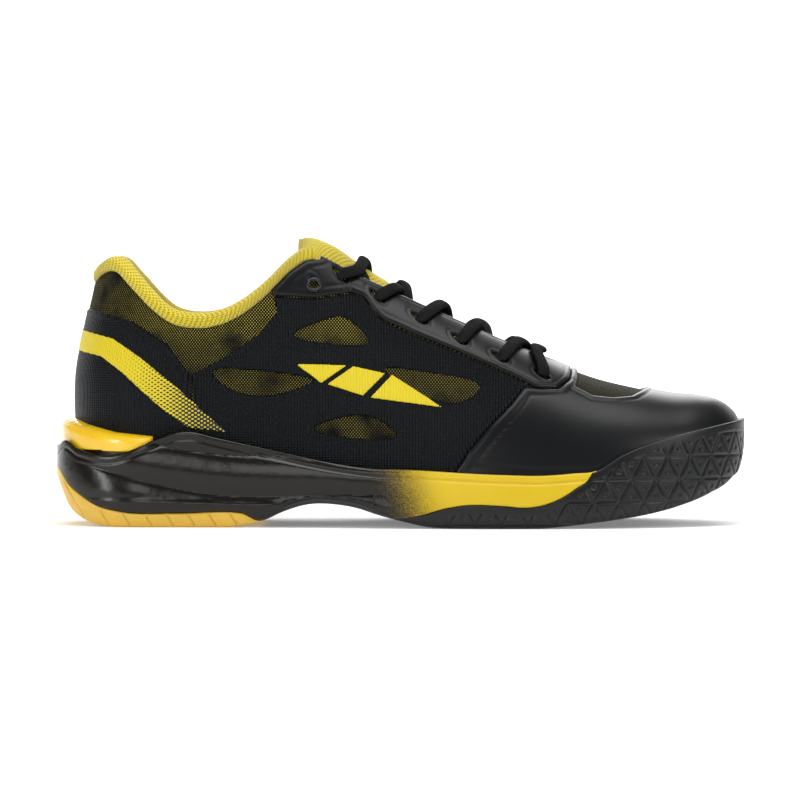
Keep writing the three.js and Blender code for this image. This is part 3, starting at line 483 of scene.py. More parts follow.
# %% Mesh makers
def make_mesh(name, verts, faces, finish, uv=None, layers=None, body="shoe"):
    name = f"{name}_finished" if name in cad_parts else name
    mesh = bpy.data.meshes.new(name)
    mesh.vertices.add(len(verts))
    mesh.vertices.foreach_set("co", ((verts + SHIFT) * MM).astype(np.float32).ravel())
    mesh.loops.add(faces.size)
    mesh.loops.foreach_set("vertex_index", faces.astype(np.int32).ravel())
    mesh.polygons.add(len(faces))
    mesh.polygons.foreach_set("loop_start", np.arange(0, faces.size, 4, dtype=np.int32))
    mesh.polygons.foreach_set("use_smooth", np.full(len(faces), True))
    mesh.update(calc_edges=True)
    if uv is not None:
        layer = mesh.uv_layers.new(name="mm")
        layer.data.foreach_set("uv", uv[faces.ravel()].astype(np.float32).ravel())
    for key, values in (layers or {}).items():
        mesh.attributes.new(key, "FLOAT", "POINT").data.foreach_set("value", values.astype(np.float32))
    mesh.materials.append(FINISH[finish])
    obj = linked(name, mesh)
    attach(obj, body)
    return obj

def grid_faces(rows, columns, wrap=False):
    i, j = np.meshgrid(np.arange(rows - 1), np.arange(columns if wrap else columns - 1), indexing="ij")
    k = (j + 1) % columns
    a = i * columns + j
    return np.stack([a, (i + 1) * columns + j, (i + 1) * columns + k, i * columns + k], -1).reshape(-1, 4)

def arc_lengths(points):
    """Distances along both directions of a grid, in mm, for the material's own scale."""
    u = np.zeros(points.shape[:2])
    v = np.zeros(points.shape[:2])
    u[1:] = np.cumsum(np.linalg.norm(np.diff(points, axis=0), axis=-1), axis=0)
    v[:, 1:] = np.cumsum(np.linalg.norm(np.diff(points, axis=1), axis=-1), axis=1)
    return np.stack([u, v], -1)

def outward_faces(verts, faces):
    """Turn all faces round when the enclosed volume comes out negative."""
    a, b, c, d = (verts[faces[:, k]] for k in range(4))
    volume = np.sum(a * np.cross(b, c)) + np.sum(a * np.cross(c, d))
    return faces if volume > 0 else faces[:, ::-1]

def distance_inside(outline, x, z):
    """Signed distance of points to a closed outline in side view, positive inside, in mm."""
    outline = np.array(outline, float)
    nearest = np.full(x.shape, 1e9)
    inside = np.zeros(x.shape, bool)
    for (x0, z0), (x1, z1) in zip(outline, np.roll(outline, -1, 0)):
        dx, dz = x1 - x0, z1 - z0
        t = np.clip(((x - x0) * dx + (z - z0) * dz) / max(dx * dx + dz * dz, 1e-12), 0, 1)
        nearest = np.minimum(nearest, np.hypot(x - x0 - t * dx, z - z0 - t * dz))
        crosses = (z0 > z) != (z1 > z)
        reach = x0 + (z - z0) / (dz if dz else 1e-9) * dx
        inside ^= crosses & (x < reach)
    return np.where(inside, nearest, -nearest)

def round_corners(outline, times=2):
    """Cut each corner of a closed outline twice, which rounds it."""
    points = np.array(outline, float)
    for _ in range(times):
        after = np.roll(points, -1, 0)
        points = np.stack([points * 0.75 + after * 0.25, points * 0.25 + after * 0.75], 1).reshape(-1, 2)
    return points

print("makers ready")

# %% [markdown]
# ## Cutting pieces out of the last
# A pattern piece is an outline on the last. `patch` lays a fine grid over it, keeps the cells inside,
# moves the cells' outer corners onto the outline, and gives the piece thickness with a rolled edge.
# Two maps of the last are used: walk and height for the sides and heel, distance from the toe tip and
# girth for the forefoot.

# %% Maps of the last
SPREAD = 48.0  # mm of girth per radian of section angle
TOE_QUARTER = TOE_ROUND * np.pi / 2

def side_map(points):
    """(walk from the heel, height) to a point of the last."""
    return by_height(points[..., 0], points[..., 1])

def plan_x(q):
    """x at q mm from the toe tip, measured round a quarter circle and then straight."""
    turn = np.clip(q / TOE_ROUND, 0, np.pi / 2)
    return TOE_X - TOE_ROUND * (1 - np.cos(turn)) - np.maximum(q - TOE_QUARTER, 0)

def plan_q(x):
    turn = np.arccos(np.clip(1 - (TOE_X - x) / TOE_ROUND, -1, 1))
    return np.where(x > TOE_X - TOE_ROUND, turn * TOE_ROUND, TOE_X - TOE_ROUND - x + TOE_QUARTER)

def top_map(points):
    """(distance from the toe tip, girth from the ridge) to a point of the last."""
    return over_top(plan_x(points[..., 0]), np.clip(points[..., 1] / SPREAD, -1.565, 1.565))

def fill(outline, spacing=1.5):
    """Closed outline with extra points along its straight runs."""
    pts = np.array(outline, float)
    out = []
    for a, b in zip(pts, np.roll(pts, -1, 0)):
        n = max(int(np.hypot(*(b - a)) / spacing), 1)
        out.append(a + (b - a) * np.arange(n)[:, None] / n)
    return np.concatenate(out)

def on_side(outline, side):
    """Outline in side view, [x, z], as walks and heights on one side of the shoe."""
    pts = fill(outline)
    lean = at(HEEL_BACK, pts[:, 1]) - HEEL_X
    x = pts[:, 0].copy()
    for _ in range(8):
        x = pts[:, 0] - lean * (1 - smoothstep(-125, -70, x))
    return np.stack([side * walk_to(np.maximum(x, HEEL_X)), pts[:, 1]], -1)

def top_place(x, z, side):
    """Side-view place on one side as distance from the toe tip and girth from the ridge."""
    return np.stack([plan_q(x), side * (np.pi / 2 - angle_at(x, z)) * SPREAD], -1)

def plan_place(x, y):
    """The same for a plan-view place, y mm from the middle line."""
    share = np.clip(np.abs(y) / half_width(x, np.sign(y)), 0, 1) ** (SIDE_POWER / 2)
    return np.stack([plan_q(x), np.sign(y) * (np.pi / 2 - np.arccos(share)) * SPREAD], -1)

def on_top(outline, side):
    """Outline in side view as distances from the toe tip and girths on one side."""
    pts = fill(outline)
    return top_place(pts[:, 0], pts[:, 1], side)

def open_on_top(line, side):
    """An open line in side view as on_top gives it, without the run that would close it."""
    placed = on_top(line, side)
    return placed[:int(np.argmin(placed[:, 0])) + 1]

# %% The pattern cutter
def frame_of(mapping, points, step=0.3):
    """Points and outward unit normals of a map, from finite differences."""
    e = np.array([step, 0.0])
    f = np.array([0.0, step])
    du = mapping(points + e) - mapping(points - e)
    dv = mapping(points + f) - mapping(points - f)
    n = np.cross(du, dv)
    n /= np.maximum(np.linalg.norm(n, axis=-1, keepdims=True), 1e-9)
    place = mapping(points)
    middle = np.stack([place[..., 0] * 0.8, 0 * place[..., 1], at(BED, place[..., 0]) + 14], -1)
    turned = np.sign(np.sum(n * (place - middle), -1, keepdims=True))
    return place, n * np.where(turned == 0, 1, turned)

def patch(name, mapping, outline, step, bottom, top, finish, slot, holes=(), edge=0.8, relief=None,
          layers=None, rim=0.35):
    """Closed pattern piece. Height is bottom at the inside and top at the outside, rolled off over
    edge mm at the outline; relief(points, distance) adds to the top."""
    outline = np.array(outline, float)
    low, high = outline.min(0) - step, outline.max(0) + step
    u = np.arange(low[0], high[0] + step, step)
    v = np.arange(low[1], high[1] + step, step)
    grid = np.stack(np.meshgrid(u, v, indexing="ij"), -1)
    distance = distance_inside(outline, grid[..., 0], grid[..., 1])
    for hole in holes:
        distance = np.minimum(distance, -distance_inside(hole, grid[..., 0], grid[..., 1]))
    faces = grid_faces(len(u), len(v))
    flat = distance.ravel()
    faces = faces[flat[faces].mean(1) > 0]
    uses = np.zeros(flat.size, int)
    np.add.at(uses, faces.ravel(), 1)
    border = ((uses > 0) & (uses < 4)).reshape(distance.shape)
    gu, gv = np.gradient(distance, step)
    length = np.maximum(np.hypot(gu, gv), 0.35)
    move = np.clip(distance / length, -step, step) * border
    points = grid - np.stack([gu, gv], -1) / length[..., None] * move[..., None]
    distance = np.where(border, 0.0, np.maximum(distance, 0))
    place, n = frame_of(mapping, points)
    roll = np.sqrt(np.clip(1 - (1 - np.clip(distance / edge, 0, 1)) ** 2, 0, 1))
    height = bottom + (top - bottom) * (rim + (1 - rim) * roll)
    if relief is not None:
        height = height + relief(points, distance)
    used = np.unique(faces)
    index = np.full(flat.size, -1)
    index[used] = np.arange(len(used))
    faces = index[faces]
    outer = (place + n * height[..., None]).reshape(-1, 3)[used]
    inner = (place + n * bottom).reshape(-1, 3)[used]
    edges = np.stack([faces, np.roll(faces, -1, 1)], -1).reshape(-1, 2)
    keys = edges[:, 0] * len(used) + edges[:, 1]
    back = edges[:, 1] * len(used) + edges[:, 0]
    lone = edges[~np.isin(back, keys)]
    count = len(used)
    rim_faces = np.stack([lone[:, 1], lone[:, 0], lone[:, 0] + count, lone[:, 1] + count], -1)
    verts = np.concatenate([outer, inner])
    all_faces = outward_faces(verts, np.concatenate([faces, faces[:, ::-1] + count, rim_faces]))
    uv = np.tile(points.reshape(-1, 2)[used], (2, 1))
    attributes = {k: np.tile(f(points, distance).ravel()[used], 2) for k, f in (layers or {}).items()}
    return make_mesh(name, verts, all_faces, finish, uv, attributes)

print("pattern cutter ready")

# %% [markdown]
# ## Outlines of the upper
# The eyestay, the side film, the windows in it, the toe cap and the heel film are drawn in side view,
# as a pattern cutter would chalk them on the last.

# %% Outlines, [x, z] in mm
EYESTAY_EDGE = [[-66, 97], [-52.5, 97], [-36, 96.2], [-20, 98.5], [-15, 96.5], [-11, 90.6], [-7, 86.8],
                [6, 81], [25, 73.3], [42, 65.8], [50, 62.2], [57, 58.4], [66, 58], [71, 61.5], [72.5, 66]]
CAP_SEAM = [[21, 10], [23.4, 24.4], [29, 33], [38, 43.5], [46, 51.5], [51.5, 58.6]]
VAMP_WINDOW = [[75.4, 66], [73.6, 58.2], [80.7, 54.6], [89.1, 53.6], [97, 54], [104, 57]]
QUARTER_BACK = [[-86, 30], [-86, 50], [-87.4, 64], [-72, 72], [-58, 82], [-51.5, 90], [-53, 96.4]]
WINDOWS = [
    [[-80, 66.4], [-68, 66.6], [-47, 64.4], [-34, 62], [-44, 57.6], [-61, 54], [-76, 60]],
    [[-50, 79.6], [-31, 87.4], [-23, 89], [-11.5, 77.6], [-19, 75.6]],
    [[-38, 40.4], [-33, 44], [-19, 47.6], [-9, 46], [1.4, 37], [-17, 37]],
    [[-8, 67.6], [5.6, 66], [35, 61.6], [31, 55], [21.6, 51.6], [9, 55.4], [-3, 62.4]],
]
EMBLEM = [[[-44, 68.6], [-22, 68], [-33, 60.4]], [[-19.6, 67.6], [-6, 64.6], [-15.5, 55.2], [-30.6, 60]],
          [[-3.4, 64], [18, 50.4], [-12.6, 54.4]]]
EYELETS = [[59.6, 63.2], [41.5, 70.8], [24.7, 78.4], [7.8, 87.2], [-9.9, 96.5], [-25.5, 105.6]]
SPARE_EYELET = [-36.4, 101.2]
COARSE = 1.0
SIDES = ((-1, "lateral"), (1, "medial"))
THROAT_BACK, JOIN_X = -34.0, 55.0  # where the throat opens, and where rear and front mesh meet

# Heights of each layer above the last, inside face and outside face, in mm
LAYER = {"mesh": (-0.8, 0.0), "film": (-0.1, 0.55), "emblem": (0.1, 0.95), "heel_film": (-0.1, 0.6),
         "band": (0.1, 0.85), "eyestay": (-0.1, 1.25), "cap": (-0.1, 1.3), "dash": (1.1, 1.65),
         "lining": (-3.3, -2.4), "clip": (-0.2, 6.4)}

def sole_line(a, b, drop, count=24):
    """Run of the sole's top line from x = a to x = b, lowered by drop."""
    x = np.linspace(a, b, count)
    return np.stack([x, at(SOLE_TOP, x) - drop], -1).tolist()

def topline_height(p):
    """Collar line at walk p: the surface leans, so x is found by repeating."""
    z = np.full(np.shape(p), 106.0)
    for _ in range(6):
        z = at(TOPLINE, np.maximum(by_height(p, z)[..., 0], TOPLINE[0][0]))
    return z

def throat_height(x, side, extra=0.0):
    share = (at(THROAT_HALF, x) + extra) / half_width(x, side)
    return np.sin(np.arccos(share ** (SIDE_POWER / 2))) ** (2 / CROWN_POWER) * (
        at(RIDGE, x) - at(BED, x)) + at(BED, x)

# %% Woven base, rear: from the throat edge round the heel to the other throat edge
def rear_outline():
    run = np.linspace(-walk_to(THROAT_BACK), walk_to(THROAT_BACK), 160)
    x = np.linspace(-32, JOIN_X, 60)
    outer = np.stack([-walk_to(x), throat_height(x, -1.0, 0.2)], -1)
    inner = np.stack([walk_to(x), throat_height(x, 1.0, 0.2)], -1)
    collar = np.stack([run, topline_height(run) - 1.2], -1)
    low = np.linspace(walk_to(JOIN_X), -walk_to(JOIN_X), 300)
    foot = np.stack([low, at(SOLE_TOP, round_heel(low)[0]) - 5.5], -1)
    return np.concatenate([outer[::-1], collar, inner, foot])

def window_share(points, distance):
    """How strongly the light threads show: most under the collar, towards the front."""
    x, z = round_heel(points[..., 0])[0], points[..., 1]
    return 0.45 + 0.35 * smoothstep(74, 84, z) * smoothstep(-128, -96, x)

rear = patch("upper_mesh_rear", side_map, rear_outline(), 1.0 * COARSE, *LAYER["mesh"], "mesh", "mesh",
             layers={"window": window_share})
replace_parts(rear, "upper_mesh")

# %% Woven base, front: over the forefoot, with the throat's round end cut out
def front_outline():
    """Round the foot on both sides, then the notch that the throat's round end leaves."""
    start = JOIN_X - 1
    x = np.linspace(start, 143.4, 60)
    foot = top_place(x, np.minimum(at(SOLE_TOP, x) - 4, 60), -1)
    notch = np.array([[start, 11.2], [58, 10.2], [62.4, 7.4], [65, 0], [62.4, -7.4], [58, -10.2],
                      [start, -11.2]])
    return np.concatenate([foot, foot[::-1] * [1, -1], plan_place(notch[:, 0], notch[:, 1])])

def front_share(points, distance):
    """Over the forefoot the light threads hardly show."""
    return np.full(points.shape[:2], 0.15)

front = patch("upper_mesh_front", top_map, front_outline(), 1.0 * COARSE, *LAYER["mesh"], "mesh", "mesh",
              layers={"window": front_share})
print("base mesh", len(rear.data.vertices), len(front.data.vertices))

# %% [markdown]
# ## Overlays of the upper
# Film, eyestay and cap are thin sheets welded or stitched on the mesh. Each is a pattern piece with its
# own thickness; holes in it let the mesh show.

# %% Side films with four windows
def film_outline():
    top = [[x, z - 0.4] for x, z in EYESTAY_EDGE[1:12]]
    return QUARTER_BACK + top + CAP_SEAM[::-1][:-1] + sole_line(22, -86, 4.5)

def film_relief(points, distance):
    """A low ridge 1.5 mm in from every edge, and a shallow dip beside it."""
    ridge = 0.16 * np.exp(-((distance - 1.5) / 0.45) ** 2)
    return ridge - 0.1 * np.exp(-((distance - 2.7) / 0.5) ** 2)

for side, word in SIDES:
    holes = [on_side(round_corners(w), side) for w in WINDOWS]
    film = patch(f"quarter_film_{word}", side_map, on_side(film_outline(), side), 0.62 * COARSE,
                 *LAYER["film"], "film", "film", holes=holes, relief=film_relief)
    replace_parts(film, f"quarter_film_{word}")
    for i, outline in enumerate(EMBLEM):
        kite = patch(f"emblem_{word}_{i + 1}", side_map, on_side(outline, side), 0.4 * COARSE,
                     *LAYER["emblem"], "print", "print", edge=0.35)
        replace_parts(kite, f"emblem_{word}_{i + 1}")

# %% Heel film and the band that fades out along it
HEEL_FILM = [[-137.7, 91.6], [-130, 91], [-112, 86], [-98, 77], [-88.6, 65], [-87, 50], [-87, 32]]
BAND_TOP = [[-137.7, 83.6], [-134, 82.6], [-120.3, 79.2], [-108.5, 71.2], [-93.3, 58.8], [-82.8, 49.1],
            [-71.8, 39.6]]
BAND_LOW = [[-89, 41.7], [-98.8, 48.5], [-107.5, 56], [-116.9, 64.7], [-125.8, 71.2], [-135.5, 73.3],
            [-137.7, 73.6]]

def both_sides(line):
    """An open line in side view that starts at the heel's back, carried round to both sides."""
    inner = on_side(line, 1)
    inner = inner[:int(np.argmax(inner[:, 0])) + 1]
    inner[0, 0] = 0.0
    return np.concatenate([inner[::-1] * [-1, 1], inner[1:]])

def round_the_heel(top, low):
    """Closed outline between two such lines."""
    return np.concatenate([both_sides(top), both_sides(low)[::-1]])

heel_low = np.linspace(walk_to(-87.0), -walk_to(-87.0), 120)
heel_foot = np.stack([heel_low, at(SOLE_TOP, round_heel(heel_low)[0]) - 4.0], -1)
heel_film = patch("heel_film", side_map, np.concatenate([both_sides(HEEL_FILM[:6]), heel_foot]),
                  0.7 * COARSE, *LAYER["heel_film"], "film", "film", relief=film_relief)
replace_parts(heel_film, "heel_film")

def along_band(points, distance):
    """0 at the heel's back, 1 where the band has faded out."""
    return np.abs(points[..., 0]) / float(walk_to(-74.0))

band = patch("heel_band", side_map, round_the_heel(BAND_TOP, BAND_LOW[::-1]), 0.6 * COARSE,
             *LAYER["band"], "fading", "print", edge=0.4, layers={"along": along_band})
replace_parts(band, "heel_band_1", "heel_band_2")
print("films and band", len(heel_film.data.vertices), len(band.data.vertices))

# %% Eyestay: a tongue-shaped frame round the throat, with slots for the lace
def ellipse(middle, long, short, tilt=0.0, count=20):
    t = np.linspace(0, 2 * np.pi, count, endpoint=False)
    c, s = math.cos(tilt), math.sin(tilt)
    u, v = long * np.cos(t), short * np.sin(t)
    return np.stack([middle[0] + u * c - v * s, middle[1] + u * s + v * c], -1)

def throat_line(side):
    x = np.linspace(-33.6, 57, 60)
    return plan_place(x, side * (at(THROAT_HALF, x) - 0.3))

def eyestay_outline():
    """Outer edge from the collar to the toe side of the throat and back, then the throat edge."""
    collar = [[-33.6, 112.4], [-39.8, 111.6], [-46, 107.4], [-54.5, 99.0]]
    edge = collar + EYESTAY_EDGE[1:] + [[72.9, 66.05]]
    tip = np.array([[60, 8.6], [62.4, 6.2], [64, 2.5], [64, -2.5], [62.4, -6.2], [60, -8.6]])
    return np.concatenate([open_on_top(edge, -1), open_on_top(edge, 1)[::-1], throat_line(1.0),
                           plan_place(tip[:, 0], tip[:, 1]), throat_line(-1.0)[::-1]])

def eyelet_middles(side):
    pts = np.array(EYELETS + [SPARE_EYELET])
    return top_place(pts[:, 0], pts[:, 1], side)

slots = []
for side in (-1, 1):
    middles = eyelet_middles(side)
    slots += [ellipse(m, 2.9, 1.5, side * -0.35) for m in middles[:6]]
    slots += [ellipse(middles[6], 2.0, 2.0)]

def stay_relief(points, distance):
    """A stitched groove 2.4 mm in from the edge."""
    return -0.22 * np.exp(-((distance - 2.4) / 0.35) ** 2)

eyestay = patch("eyestay", top_map, eyestay_outline(), 0.6 * COARSE, *LAYER["eyestay"], "skin",
                "synthetic", holes=slots, relief=stay_relief, edge=1.1)
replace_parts(eyestay, "eyestay_lateral", "eyestay_medial")

# %% Toe cap: one moulding round the toe, open over the vamp
def cap_outline():
    """Up the seam and along the eyestay's front, back down on the other side, then round the foot."""
    seam = CAP_SEAM[1:] + [[x + 0.3, z - 0.4] for x, z in EYESTAY_EDGE[11:]] + [[73.2, 65.9]]
    x = np.linspace(143.4, 23.6, 90)
    foot = top_place(x, np.minimum(at(SOLE_TOP, x) - 3.5, 60), 1)
    return np.concatenate([open_on_top(seam, -1), open_on_top(seam, 1)[::-1], foot[::-1], foot * [1, -1]])

def vamp_hole():
    line = open_on_top(VAMP_WINDOW, 1)
    line[:, 1] = np.maximum(line[:, 1], 0.0)
    return np.concatenate([line, line[::-1] * [1, -1]])

def cap_relief(points, distance):
    """A soft ridge 2 mm in from the cap's edge and a crease at 4 mm, as the mould leaves them."""
    return 0.25 * np.exp(-((distance - 2.0) / 0.7) ** 2) - 0.2 * np.exp(-((distance - 4.0) / 0.6) ** 2)

cap = patch("toe_cap", top_map, cap_outline(), 0.7 * COARSE, *LAYER["cap"], "skin", "synthetic",
            holes=[vamp_hole()], relief=cap_relief, edge=1.4)
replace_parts(cap, "toe_cap")

# %% [markdown]
# Beside the cap's seam the mould leaves a row of small raised marks. Here they are plain dashes.

# %% Row of dashes along the seam
def dash(side, share):
    """A short slanted bar on the cap, about 5 mm in front of its seam."""
    x, z = 28.0 + 13.0 * share + 4.5, 29.5 + 17.0 * share - 3.0
    long, short, tilt = 1.5, 0.42, 0.35
    return on_side(ellipse([x, z], long, short, tilt, 12).tolist(), side)

for side, word in SIDES:
    for k, share in enumerate(np.linspace(0, 1, 7)):
        patch(f"seam_dash_{word}_{k + 1}", side_map, dash(side, share), 0.25, *LAYER["dash"], "skin",
              "synthetic", edge=0.4)

print("eyestay and cap", len(eyestay.data.vertices), len(cap.data.vertices))

# %% [markdown]
# ## Collar, lining and tongue
# The collar is foam wrapped in knit: a rounded section carried round the opening. The tongue is a
# padded strap that lies under the eyestay and stands out of the collar in front.

# %% Collar roll
def smooth_loop(points, count):
    """Closed Catmull-Rom curve through points, count samples per span."""
    p = np.array(points, float)
    t = np.arange(count)[None, :, None] / count
    a, b, c, d = (np.roll(p, k, 0)[:, None, :] for k in (1, 0, -1, -2))
    curve = 0.5 * (2 * b + (c - a) * t + (2 * a - 5 * b + 4 * c - d) * t**2 + (3 * b - a - 3 * c + d) * t**3)
    return curve.reshape(-1, p.shape[1])

def tube_grid(rings):
    """The rings of a tube with four smaller ones added at each end, which round it off."""
    middle = rings.mean(1, keepdims=True)
    def cap(end, inward):
        steps = [0.96, 0.8, 0.5, 0.02]
        push = [0.25, 0.6, 0.9, 1.0]
        centre = middle[end]
        direction = centre - middle[inward]
        direction = direction / np.maximum(np.linalg.norm(direction), 1e-9)
        size = np.linalg.norm(rings[end] - centre, axis=-1).min()
        return [centre + (rings[end] - centre) * s + direction * size * d * 0.5 for s, d in zip(steps, push)]
    start = cap(0, 1)[::-1]
    end = cap(-1, -2)
    return np.concatenate([np.array(start), rings, np.array(end)])

def make_tube(name, rings, finish, body="shoe", caps=True):
    """Closed tube; the ends are drawn in to a point, so nothing is left open."""
    rings = tube_grid(rings) if caps else rings
    rows, columns = rings.shape[:2]
    wrapped = np.concatenate([rings, rings[:, :1]], 1)
    uv = arc_lengths(wrapped)[..., ::-1]
    faces = grid_faces(rows, columns, wrap=True)
    verts = rings.reshape(-1, 3)
    ends = np.stack([rings[0].mean(0), rings[-1].mean(0)])
    count = len(verts)
    j = np.arange(0, columns - 1, 2)
    k = (j + 1) % columns
    m = (j + 2) % columns
    first = np.stack([np.full(len(j), count), j, k, m], -1)
    last = (rows - 1) * columns
    final = np.stack([np.full(len(j), count + 1), last + m, last + k, last + j], -1)
    faces = np.concatenate([faces, first, final])
    verts = np.concatenate([verts, ends])
    uv = np.concatenate([uv[:, :-1].reshape(-1, 2), uv[[0, -1], 0]])
    return make_mesh(name, verts, outward_faces(verts, faces), finish, uv, body=body)

COLLAR = [[0.2, -1.2], [1.0, 0.6], [1.1, 2.8], [-0.6, 4.6], [-3.6, 5.2], [-6.8, 4.2], [-8.6, 1.2], [-9.3, -4],
          [-9.3, -12], [-8.8, -20], [-7.0, -27], [-4.2, -30], [-3.0, -24], [-2.4, -12], [-2.0, -3]]

def collar_rings():
    """The section carried round the opening; it thins towards the tongue."""
    ends = float(walk_to(-36.5))
    p = np.linspace(-ends, ends, int(260 / COARSE))
    z0 = topline_height(p)
    section = smooth_loop(COLLAR, 5)
    thin = 0.62 + 0.38 * smoothstep(-46, -78, round_heel(p)[0])
    points = np.stack([np.repeat(p[:, None], len(section), 1),
                       z0[:, None] + section[None, :, 1] * np.ones_like(p)[:, None]], -1)
    place, n = frame_of(side_map, points)
    out = section[None, :, 0] * np.where(section[None, :, 0] < 0, thin[:, None], 1.0)
    return place + n * out[..., None]

collar = make_tube("collar_lining", collar_rings(), "knit")
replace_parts(collar, "collar_lining", "collar_foam")

# %% Lining below the collar and over the toe
def lining_outline():
    ends = np.linspace(-walk_to(56.0), walk_to(56.0), 200)
    x = round_heel(ends)[0]
    side = np.where(ends < 0, -1.0, 1.0)
    high = np.where(x < -34, topline_height(ends) - 22,
                    throat_height(np.maximum(x, -34), side, 0.6))
    low = at(BED, x[::-1]) + 0.5
    return np.concatenate([np.stack([ends, high], -1), np.stack([ends[::-1], low], -1)])

lining = patch("lining_rear", side_map, lining_outline(), 2.0, *LAYER["lining"], "lining",
               "lining_cloth")
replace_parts(lining, "lining")

def toe_lining_outline():
    x = np.linspace(55, 142, 40)
    foot = np.stack([plan_q(x), -1.5 * SPREAD + 0 * x], -1)
    return np.concatenate([foot, foot[::-1] * [1, -1]])

toe_lining = patch("lining_front", top_map, toe_lining_outline(), 2.0, *LAYER["lining"], "lining",
                   "lining_cloth", holes=[front_outline()[-7:]])
print("collar", len(collar.data.vertices), "lining", len(lining.data.vertices))

# %% Tongue
def tongue_rings(outside, inside, start=68.5, stop=-42.0):
    """Flat padded section: across the strap on top, back underneath, round at both edges."""
    count = int(120 / COARSE)
    x = start + (stop - start) * np.linspace(0, 1, count)
    turn = np.linspace(0, 2 * np.pi, 72, endpoint=False)
    share = np.sign(np.cos(turn)) * np.abs(np.cos(turn)) ** 0.75
    lift = np.sign(np.sin(turn)) * np.abs(np.sin(turn)) ** 0.45
    side = np.where(share[None, :] < 0, -1.0, 1.0)
    reach = half_width(x[:, None], side) - 7.8
    ends = np.sqrt(np.clip(1 - np.clip(1 - np.minimum(x - stop, start - x) / 9, 0, 1) ** 2, 0.04, 1))
    wide = np.minimum(at(TONGUE_HALF, x)[:, None], 0.8 * reach)
    y = share[None, :] * wide * (0.72 + 0.28 * ends[:, None])
    arch = (1 - np.abs(y / reach) ** SIDE_POWER) ** (1 / CROWN_POWER)
    bed = at(BED, x)[:, None]
    top = bed + (at(RIDGE, x)[:, None] - bed) * arch - 7.8
    middle = (outside + inside) / 2
    crown = 6.0 * np.exp(-(y / 11.0) ** 2) * (smoothstep(28, -8, x) * smoothstep(-46, -22, x))[:, None]
    depth = middle - crown - lift[None, :] * (inside - outside) / 2 * ends[:, None]
    return np.stack([np.repeat(x[:, None], 72, 1), y, top - depth], -1)

tongue = make_tube("tongue_pad", tongue_rings(-0.6, 8.0), "knit", body="tongue")
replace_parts(tongue, "tongue_face", "tongue_foam", "tongue_lining")
print("tongue", len(tongue.data.vertices))

# %% [markdown]
# ## Lacing
# One flat braid. Each strand leaves an eyelet, crosses over the tongue and dips under the other edge to
# the next eyelet down. It uses the CAD cord's eyelets in the same order, and its loops lie closer to the
# eyestay than the CAD cord's do.

# %% Lace route
LACE_WIDE, LACE_THICK = 5.2, 2.8
LIFT, SINK = 2.8, 4.2
OVER, UNDER = 1.4, -2.6

def shell_point(place, side, distance):
    """Point over the last at a side-view place, moved out by distance, with its normal."""
    where, n = frame_of(top_map, top_place(*np.array(place, float), side))
    return where + n * distance, n

def throat_point(x, side, distance):
    """The same on the throat edge at x."""
    where, n = frame_of(top_map, plan_place(x, side * at(THROAT_HALF, x)))
    return where + n * distance, n

def ridge_point(x, distance):
    """The same on the middle line at x."""
    n = np.array([at(RIDGE, x - 0.5) - at(RIDGE, x + 0.5), 0, 1.0])
    n /= np.linalg.norm(n)
    return np.array([x, 0, at(RIDGE, x)]) + n * distance, n

def between(a, b, share):
    return [a[0] + (b[0] - a[0]) * share, a[1] + (b[1] - a[1]) * share]

def lace_crossing(upper, lower, side, height):
    """Out of the upper eyelet, over the edge, across the tongue, under the far edge."""
    middle = upper[0] * 0.36 + lower[0] * 0.64
    return [shell_point(upper, side, -1.0), shell_point(between(upper, lower, 0.06), side, LIFT - 0.5),
            throat_point(upper[0] * 0.62 + lower[0] * 0.38, side, LIFT + 0.2),
            ridge_point(middle, height), throat_point(upper[0] * 0.12 + lower[0] * 0.88, -side, -SINK),
            shell_point(lower, -side, -SINK)]

def lace_strand(side, height):
    route = []
    for upper, lower in zip(EYELETS[:0:-1], EYELETS[-2::-1]):
        route += lace_crossing(upper, lower, side, height)
        side = -side
    return route

def lace_tail(side):
    spots = [[36, 65], [22, 71.5], [6, 79], [-9, 88.5], [-22, 97.5], [-25.5, 103]]
    return [shell_point(s, side, -5.6) for s in spots] + [shell_point(EYELETS[5], side, -SINK)]

def lace_route():
    x = EYELETS[0][0]
    def bar(side):
        return [shell_point(EYELETS[0], side, -1.0), shell_point(EYELETS[0], side, LIFT - 0.4),
                throat_point(56.5, side, LIFT)]
    front_bar = bar(1) + [ridge_point(x - 1, LIFT + 0.2)] + bar(-1)[::-1]
    return (lace_tail(-1) + lace_strand(-1, OVER) + front_bar + lace_strand(1, UNDER)[::-1]
            + lace_tail(1)[::-1])

